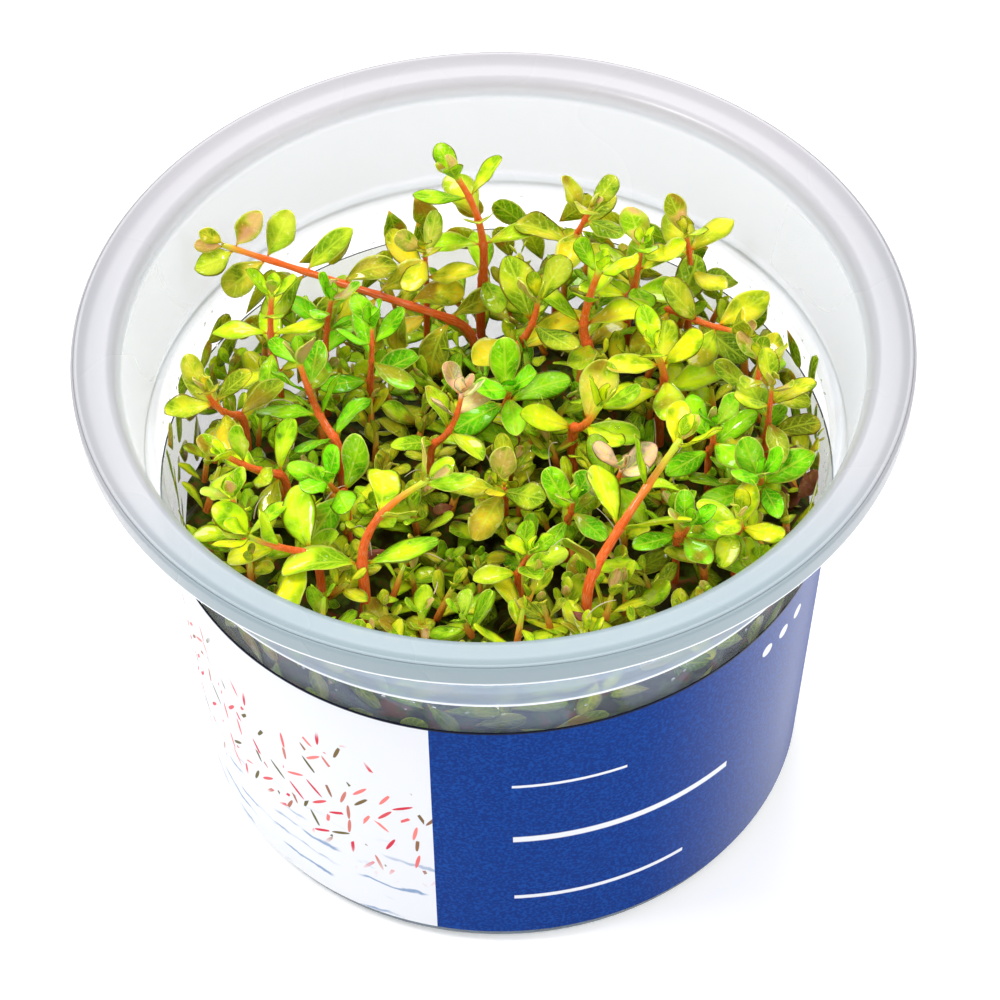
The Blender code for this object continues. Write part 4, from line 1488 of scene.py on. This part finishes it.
@dataclass
class Undergrowth:
    """The dense mat of small shoots, its dark depth in painted shade, and the leaves pressed against the
    wall.

    A sprig's sizes and leans are those of its leaf pairs, from the lowest of four up. The depth stands
    off the wall, more at its hollow at the back left.
    """

    scatter: Scatter
    rings: int = 14
    sectors: int = 64
    band_sides: int = 48
    reach: float = 40.2 * MM
    sprig_stem: tuple[Pair, ...] = ((0.0, 0.5 * MM), (0.5, 0.45 * MM), (1.0, 0.3 * MM))
    sprig_leaf: float = 6.6 * MM
    sprig_sizes: tuple[float, ...] = (1.0, 0.92, 0.66, 0.42)
    sprig_leans: tuple[float, ...] = (82, 70, 50, 24)
    cap: float = 0.3 * MM
    thread_radius: float = 0.12 * MM
    thread_taper: float = 0.6
    thread_bend: float = 0.14
    thread_steps: int = 10
    depth_low: float = 9.4 * MM
    depth_drop: float = 5.2 * MM
    depth_rough: float = 0.9 * MM
    depth_radius: float = 38.4 * MM
    depth_hollow: float = 8.0 * MM
    depth_narrowing: float = 0.94
    sprig_kinds: int = 12
    leaf_kinds: int = 6
    curled_kinds: int = 5
    curled_most: float = 150.0

    def __post_init__(self) -> None:
        """Make the small shoots, loose leaves and threads to be copied."""
        self.sprigs = ShapeShelf("sprigs")
        self.loose = ShapeShelf("loose_leaves")
        self.curled = ShapeShelf("curled_leaves")
        self.threads = ShapeShelf("threads")
        chance = random.Random(5)
        for number in range(self.sprig_kinds):
            self.sprigs.add(self.sprig(chance, "sprig_%d" % number))
        for number in range(self.leaf_kinds):
            self.loose.add(self.loose_leaf(chance, "loose_leaf_%d" % number))
            self.threads.add(self.thread(chance, "thread_%d" % number))
        for number in range(self.curled_kinds):
            self.curled.add(self.loose_leaf(chance, "curled_leaf_%d" % number, self.curled_most))

    def sprig(self, chance: random.Random, name: str) -> bpy.types.Mesh:
        """A short shoot of three or four leaf pairs, its foot at the origin.

        Args:
            chance: Where its variation comes from.
            name: The mesh's name.

        Returns:
            Its mesh, without a tone.
        """
        sketch = Sketch()
        pairs = chance.choice((3, 3, 4))
        height = chance.uniform(4.0, 6.5) * MM
        vary = chance.uniform
        rings = [
            sketch.ring(UP * height * share, RIGHT, BEHIND, [radius] * 6, share, NO_TONE,
                        0.62 + 0.38 * share, 1.0)
            for share, radius in self.sprig_stem
        ]
        tip = [sketch.point(UP * (height + self.cap), 1.0, 0.5, NO_TONE, 1.0, 1.0)]
        base = [sketch.point(UP * -self.cap, 0.0, 0.5, NO_TONE, 0.6, 1.0)]
        sketch.skin([base] + rings + [tip], closed=True)
        for pair in range(pairs):
            share = pair / (pairs - 1)
            angle = math.radians(90 * pair + vary(-16, 16))
            quarter = Vector((math.cos(angle), math.sin(angle), 0.0))
            size = self.sprig_sizes[pair + 4 - pairs]
            lean = self.sprig_leans[pair + 4 - pairs]
            for out in (quarter, -quarter):
                length = self.sprig_leaf * size * vary(0.78, 1.15)
                leaf = Blade(
                    length=length, width=length * vary(0.40, 0.60), lean=math.radians(lean + vary(-30, 14)),
                    curl=math.radians(vary(-28, 46)), cup=vary(-0.15, 0.25), fold=vary(0.0, 0.30),
                    wave=vary(-0.2, 0.2), sway=vary(-0.14, 0.14), luck=chance.random(),
                    light_seeking=vary(0.1, 1.0), point=max(vary(-0.3, 0.25), 0.0), rows=7, columns=4,
                    phase=vary(0.0, 6.0),
                )
                root = UP * height * share + out * 0.25 * MM
                leaf.draw(sketch, root, UP, out, NO_TONE, 1 - 0.85 * share)
        return self.untoned(sketch, name)

    def thread(self, chance: random.Random, name: str) -> bpy.types.Mesh:
        """A thin root that rises from the origin and bends over.

        Args:
            chance: Where its variation comes from.
            name: The mesh's name.

        Returns:
            Its mesh, without a tone.
        """
        sketch = Sketch()
        vary = chance.uniform
        length = vary(4.5, 9.0) * MM
        ahead = Vector((vary(-0.6, 0.6), vary(-0.6, 0.6), 1.0)).normalized()
        bend = Vector((vary(-1.0, 1.0), vary(-1.0, 1.0), vary(-1.6, -0.2))) * self.thread_bend
        place, side = Vector((0.0, 0.0, 0.0)), ahead.orthogonal()
        rings = [[sketch.point(place - ahead * 0.1 * MM, 0.0, 0.5)]]
        for step in range(self.thread_steps + 1):
            side = (side - ahead * side.dot(ahead)).normalized()
            share = step / self.thread_steps
            radius = self.thread_radius * (1 - self.thread_taper * share)
            rings.append(sketch.ring(place, side, ahead.cross(side), [radius] * 5, share))
            place = place + ahead * length / self.thread_steps
            ahead = (ahead + bend).normalized()
        rings.append([sketch.point(place - ahead * length / self.thread_steps * 0.9, 1.0, 0.5)])
        sketch.skin(rings, closed=True)
        return self.untoned(sketch, name)

    def loose_leaf(self, chance: random.Random, name: str, most_curl: float = 20.0) -> bpy.types.Mesh:
        """A leaf that lies in the plane of X and Y, its middle at the origin.

        Args:
            chance: Where its variation comes from.
            name: The mesh's name.
            most_curl: The greatest curl, in degrees.

        Returns:
            Its mesh, without a tone.
        """
        sketch = Sketch()
        vary = chance.uniform
        length = vary(5.8, 7.6) * MM
        leaf = Blade(
            length=length, width=length * vary(0.45, 0.58), lean=math.radians(90),
            curl=math.radians(vary(-most_curl, most_curl)), cup=vary(-0.1, 0.1), fold=vary(0.0, 0.15),
            wave=vary(-0.1, 0.1), luck=chance.random(), rows=7, columns=4,
        )
        leaf.draw(sketch, RIGHT * (-length / 2), UP, RIGHT, NO_TONE, 0.9)
        return self.untoned(sketch, name)

    @staticmethod
    def untoned(sketch: Sketch, name: str) -> bpy.types.Mesh:
        """A sketch's mesh without its tone, which each copy gets from the scatter."""
        mesh = sketch.mesh(name)
        mesh.attributes.remove(mesh.attributes["tone"])
        return mesh

    def surface(self, name: str, depth: float, reach: float, middle: Pair = (0.0, 0.0)) -> bpy.types.Mesh:
        """A surface a depth under the undergrowth's top.

        Args:
            name: The mesh's name.
            depth: How far under the top.
            reach: Its radius.
            middle: Its middle, in metres to the right of the axis and behind it.

        Returns:
            An open mesh that faces up.
        """
        sketch = Sketch()
        right, behind = middle
        rows = [[sketch.point(Vector((right, behind, Heap.height(right, behind) - depth)))]]
        for ring in range(1, self.rings + 1):
            radius = reach * ring / self.rings
            row = []
            for sector in range(self.sectors):
                angle = math.tau * sector / self.sectors
                x, y = right + radius * math.cos(angle), behind + radius * math.sin(angle)
                row.append(sketch.point(Vector((x, y, Heap.height(x, y) - depth))))
            rows.append(row)
        sketch.skin(rows, closed=True, flipped=True)
        return self.untoned(sketch, name)

    def wall_band(self, name: str, low: Pair, high: Pair) -> bpy.types.Mesh:
        """A band just inside the cup's wall, facing out.

        Args:
            name: The mesh's name.
            low: Its lower edge's height and radius.
            high: Its upper edge's height and radius.

        Returns:
            An open mesh.
        """
        sketch = Sketch()
        rows = []
        for height, radius in (low, high):
            turns = [math.tau * side / self.band_sides for side in range(self.band_sides)]
            rows.append([
                sketch.point(Vector((radius * math.cos(angle), radius * math.sin(angle), height)))
                for angle in turns
            ])
        sketch.skin(rows, closed=True)
        return self.untoned(sketch, name)

    def core(self) -> bpy.types.Object:
        """The dark wet depth under the leaves in painted shade, closed, standing just above the jelly."""
        sketch = Sketch()
        chance = random.Random(11)
        rows = []
        for ring in range(self.rings + 1):
            row = []
            for sector in range(self.sectors if ring else 1):
                angle = math.tau * sector / self.sectors
                back = smooth_step(0.1, 0.8, math.sin(angle)) * smooth_step(0.9, -0.3, math.cos(angle))
                radius = (self.depth_radius - self.depth_hollow * back) * ring / self.rings
                x, y = radius * math.cos(angle), radius * math.sin(angle)
                rough = chance.uniform(-self.depth_rough, self.depth_rough)
                row.append(sketch.point(Vector((x, y, Heap.height(x, y) - self.depth_drop + rough))))
            rows.append(row)
        narrow, low = self.depth_narrowing, self.depth_low
        outer = [sketch.points[corner] for corner in rows[-1]]
        rows.append([sketch.point(Vector((place.x * narrow, place.y * narrow, low))) for place in outer])
        rows.append([sketch.point(Vector((0.0, 0.0, low)))])
        sketch.skin(rows, closed=True)
        mesh = sketch.plain("undergrowth_depth")
        mesh.flip_normals()
        return linked(mesh, "undergrowth_depth", LITTER_AND_SHADE)

    def build(self) -> list[bpy.types.Object]:
        """Make the undergrowth's pieces.

        Returns:
            The pieces that drops can lie on.
        """
        reach = self.reach
        layers = (
            ("undergrowth_sprigs", self.sprigs, TISSUE, self.surface("top", 1.2 * MM, reach - 2.0 * MM),
             Spread(4.2 * MM, 120000.0, 0.72, 1.08, 0.9, 0.6, 0.0, 3)),
            ("undergrowth_deep", self.loose, TISSUE, self.surface("deep", 4.4 * MM, reach - 3.5 * MM),
             Spread(4.2 * MM, 90000.0, 0.8, 1.1, 0.2, 0.9, 0.55, 20)),
            ("wall_leaves", self.loose, TISSUE,
             self.wall_band("band", (41.0 * MM, 38.9 * MM), (53.0 * MM, 39.7 * MM)),
             Spread(3.6 * MM, 90000.0, 0.8, 1.1, 0.0, 0.12, 0.55, 31)),
            ("withered_leaves", self.curled, WITHERED,
             self.surface("dead", -1.5 * MM, 6.0 * MM, (33.0 * MM, -7.0 * MM)),
             Spread(2.0 * MM, 200000.0, 0.45, 0.85, 0.4, 0.9, 0.0, 60)),
            ("stray_leaves", self.curled, WITHERED, self.surface("strays", -2.5 * MM, reach - 8.0 * MM),
             Spread(11.0 * MM, 9000.0, 0.3, 0.6, 0.3, 1.0, 0.0, 61)),
            ("roots", self.threads, ROOT, self.surface("roots", -2.0 * MM, reach - 5.0 * MM),
             Spread(5.0 * MM, 9000.0, 0.6, 1.1, 0.7, 0.8, 0.0, 62)),
        )
        pieces = []
        for name, shelf, finish, surface, spread in layers:
            piece = self.scatter.run(name, surface, shelf.collection, finish, spread)
            for vertex in piece.data.vertices:
                vertex.co = Interior.hold(vertex.co)
            pieces.append(piece)
        pieces.insert(3, self.core())
        for piece in pieces:
            place_piece(piece, "undergrowth", "undergrowth")
        for shelf in (self.sprigs, self.loose, self.curled, self.threads):
            shelf.clear()
        return pieces[:1]


@dataclass(frozen=True)
class Corner:
    """A corner of a turned section: radius, height above the base and rounding, in millimetres."""

    radius: float
    height: float
    rounding: float = 0.0


def rounded_section(corners: Sequence[Corner], steps: int = 5) -> list[tuple[float, float]]:
    """A section with its corners rounded, and a point close to each end of its straight runs.

    Args:
        corners: The section's corners in order.
        steps: Points on each rounding.

    Returns:
        Points of (radius, height) in metres.
    """
    places = [Vector((corner.radius, corner.height)) for corner in corners]
    line: list[Vector] = []
    for index, corner in enumerate(corners):
        here = places[index]
        if not corner.rounding:
            line.append(here)
            continue
        start = here + (places[index - 1] - here).normalized() * corner.rounding
        end = here + (places[index + 1] - here).normalized() * corner.rounding
        for step in range(steps + 1):
            share = step / steps
            line.append(start * (1 - share) ** 2 + here * 2 * share * (1 - share) + end * share ** 2)
    points = [line[0]]
    for before, after in zip(line, line[1:]):
        run = after - before
        if run.length > 1.0:
            margin = run.normalized() * min(0.2, run.length / 4)
            points += [before + margin, after - margin]
        points.append(after)
    return [(point.x * MM, point.y * MM) for point in points]


def turned(section: Sequence[tuple[float, float]], name: str, segments: int, closed: bool) -> bpy.types.Mesh:
    """Spin a section round Z.

    Args:
        section: Points of (radius, height).
        name: The mesh's name.
        segments: Steps of the turn.
        closed: Whether the section's last point joins its first.

    Returns:
        A closed mesh that faces out.
    """
    bm = bmesh.new()
    points = [bm.verts.new((radius, 0.0, height)) for radius, height in section]
    edges = [bm.edges.new(pair) for pair in zip(points, points[1:])]
    if closed:
        edges.append(bm.edges.new((points[-1], points[0])))
    bmesh.ops.spin(
        bm, geom=points + edges, cent=(0, 0, 0), axis=(0, 0, 1), angle=math.tau, steps=segments,
        use_merge=True,
    )
    bmesh.ops.remove_doubles(bm, verts=bm.verts, dist=0.001 * MM)
    bmesh.ops.recalc_face_normals(bm, faces=bm.faces)
    return mesh_of(bm, name)


@dataclass
class Cup:
    """The moulded cup: flange with a turned lip, a step-in ring with a bead, and a tapered wall."""

    segments: int = 160
    section: tuple[Corner, ...] = (
        Corner(0.0, 0.0), Corner(34.5, 0.0, 0.6), Corner(35.3, 0.35, 0.4), Corner(37.4, 0.35, 1.2),
        Corner(41.0, 52.4, 0.5), Corner(42.55, 53.0, 0.5), Corner(42.4, 54.3, 0.4), Corner(44.5, 66.2, 0.8),
        Corner(48.6, 67.5, 0.5), Corner(48.9, 66.2, 0.2), Corner(49.8, 66.15, 0.3), Corner(50.0, 69.05, 0.45),
        Corner(49.3, 69.25, 0.3), Corner(48.2, 68.7, 0.8), Corner(45.4, 68.5, 0.7), Corner(44.1, 66.9, 0.8),
        Corner(41.9, 55.9, 0.4), Corner(40.8, 55.0, 0.5), Corner(40.2, 52.1, 0.6),
        Corner(36.75, 2.3, 1.4), Corner(35.0, 1.0, 0.6), Corner(0.0, 1.0),
    )

    def build(self) -> bpy.types.Object:
        """The cup in place of its node.

        Returns:
            The piece.
        """
        wall = turned(rounded_section(self.section), "cup_wall", self.segments, False)
        piece = linked(wall, "cup_wall", PLASTIC)
        place_piece(piece, "milky_plastic", "cup")
        return piece


@dataclass
class Label:
    """The printed film round the wall."""

    segments: int = 160
    top: float = 46.3 * MM
    bottom: float = 2.5 * MM
    top_radius: float = 40.88 * MM
    bottom_radius: float = 37.83 * MM
    thickness: float = 0.2 * MM
    rows: int = 6

    def build(self) -> bpy.types.Object:
        """The label in place of its node.

        Returns:
            The piece.
        """
        shares = [row / self.rows for row in range(self.rows + 1)]
        inner = [
            (self.bottom_radius + (self.top_radius - self.bottom_radius) * share,
             self.bottom + (self.top - self.bottom) * share)
            for share in shares
        ]
        outer = [(radius + self.thickness, height) for radius, height in inner]
        mesh = turned(inner[::-1] + outer, "label_film", self.segments, True)
        mesh.materials.append(FILM.material())
        mesh.materials.append(BACKING.material())
        for face in mesh.polygons:
            outward = face.normal.x * face.center.x + face.normal.y * face.center.y
            face.material_index = 1 if outward < -self.bottom_radius / 2 else 0
        piece = linked(mesh, "label_film")
        mesh.set_sharp_from_angle(angle=math.radians(40))
        place_piece(piece, "printed_film", "label")
        return piece


class Gel:
    """The jelly on the cup's floor, which keeps its solid's shape."""

    @staticmethod
    def dress() -> None:
        """Give the node its finish."""
        node = frame["nodes"]["gel"]
        node.data.materials.clear()
        node.data.materials.append(JELLY.material())


@dataclass
class Drops:
    """Water drops on leaves and a fine mist on the wall."""

    scatter: Scatter
    wet_shoots: tuple[str, ...] = (
        "front_right", "front_left", "green_mid", "left_low", "broad_leaf", "yellow_pair", "front",
    )
    shapes: tuple[Pair, ...] = ((0.55, 1.0), (0.7, 1.15), (0.4, 0.9))
    radius: float = 1.0 * MM
    flatness: float = 0.15
    on_leaves: Spread = Spread(3.4 * MM, 9000.0, 0.14, 0.42, 0.0, 0.1, 0.0, 40)
    on_wall: Spread = Spread(1.1 * MM, 120000.0, 0.06, 0.26, 0.0, 0.0, 0.0, 50)

    def __post_init__(self) -> None:
        """Make the drops to be copied."""
        self.shelf = ShapeShelf("drops")
        for number, (height, stretch) in enumerate(self.shapes):
            self.shelf.add(self.drop("drop_%d" % number, height, stretch))

    def drop(self, name: str, height: float, stretch: float) -> bpy.types.Mesh:
        """A drop that sits on the plane of X and Y, its height and stretch against its radius."""
        bm = bmesh.new()
        bmesh.ops.create_uvsphere(bm, u_segments=10, v_segments=6, radius=self.radius)
        for vertex in bm.verts:
            vertex.co.x *= stretch
            vertex.co.z *= height if vertex.co.z > 0 else self.flatness
        return mesh_of(bm, name)

    def build(self, carriers: Sequence[bpy.types.Object], wall: bpy.types.Mesh) -> None:
        """Set drops on leaves and on the wall.

        Args:
            carriers: Pieces whose leaves get drops.
            wall: A band inside the wall that gets mist.
        """
        places = [(carrier.name + "_drops", carrier.data.copy(), self.on_leaves) for carrier in carriers]
        for name, surface, spread in [*places, ("wall_mist", wall, self.on_wall)]:
            place_piece(self.scatter.run(name, surface, self.shelf.collection, WATER, spread), None)
        self.shelf.clear()


@dataclass(frozen=True)
class Lamp:
    """A round soft lamp: its name, place, width and power in watts."""

    name: str
    place: Place
    size: float
    power: float


@dataclass
class Studio:
    """The camera at the photograph's place, a pale floor and soft light."""

    camera_place: Place = (0.0, -0.341708, 0.433528)
    camera_turn: Place = (40.982549, 1.038734, -1.248726)
    focal_pixels: float = 4226.74
    picture_pixels: float = 1000.0
    sensor: float = 36.0
    nearest: float = 0.01
    world_strength: float = 0.82
    floor_size: float = 3.0
    lit_point: Place = (0.0, 0.0, 0.04)
    lamps: tuple[Lamp, ...] = (
        Lamp("key", (-0.42, -0.12, 0.80), 0.24, 3.2),
        Lamp("fill", (0.55, -0.30, 0.62), 0.40, 1.8),
        Lamp("back", (0.00, 0.62, 0.62), 0.45, 3.2),
    )

    def build(self) -> None:
        """Set up the camera, the lamps, the surround and the floor."""
        camera = bpy.data.objects.new("camera", bpy.data.cameras.new("camera"))
        camera.location = self.camera_place
        camera.rotation_euler = [math.radians(angle) for angle in self.camera_turn]
        camera.data.sensor_fit = "HORIZONTAL"
        camera.data.sensor_width = self.sensor
        camera.data.lens = self.focal_pixels / self.picture_pixels * self.sensor
        camera.data.clip_start = self.nearest
        bpy.context.scene.collection.objects.link(camera)
        bpy.context.scene.camera = camera
        for plan in self.lamps:
            lamp = bpy.data.objects.new(plan.name, bpy.data.lights.new(plan.name, "AREA"))
            lamp.data.shape = "DISK"
            lamp.data.size = plan.size
            lamp.data.energy = plan.power
            lamp.location = plan.place
            aim = Vector(self.lit_point) - Vector(plan.place)
            lamp.rotation_euler = aim.to_track_quat("-Z", "Y").to_euler()
            bpy.context.scene.collection.objects.link(lamp)
        world = bpy.data.worlds.new("surround")
        world.use_nodes = True
        sky = world.node_tree.nodes["Background"]
        sky.inputs["Color"].default_value = (1.0, 1.0, 1.0, 1.0)
        sky.inputs["Strength"].default_value = self.world_strength
        bpy.context.scene.world = world
        bpy.context.scene.view_settings.view_transform = "Standard"
        bm = bmesh.new()
        bmesh.ops.create_grid(bm, x_segments=4, y_segments=4, size=self.floor_size)
        linked(mesh_of(bm, "floor"), "floor", CARD)


def main() -> None:
    """Build every sub-assembly around the frame."""
    logging.basicConfig(level=logging.INFO, format="%(message)s")
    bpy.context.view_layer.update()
    Studio().build()
    Cup().build()
    Label().build()
    Gel.dress()
    shoots = [Shoot(plan, seed).build() for seed, plan in enumerate(SHOOTS)]
    scatter = Scatter()
    undergrowth = Undergrowth(scatter)
    wall = undergrowth.wall_band("mist_band", (47.0 * MM, 39.8 * MM), (54.0 * MM, 40.3 * MM))
    carriers = undergrowth.build()
    drops = Drops(scatter)
    wet = [shoot for shoot in shoots if shoot.name.removesuffix("_plant") in drops.wet_shoots]
    drops.build(carriers + wet, wall)
    log.info("%d shoots", len(shoots))


if __name__ == "__main__":
    main()
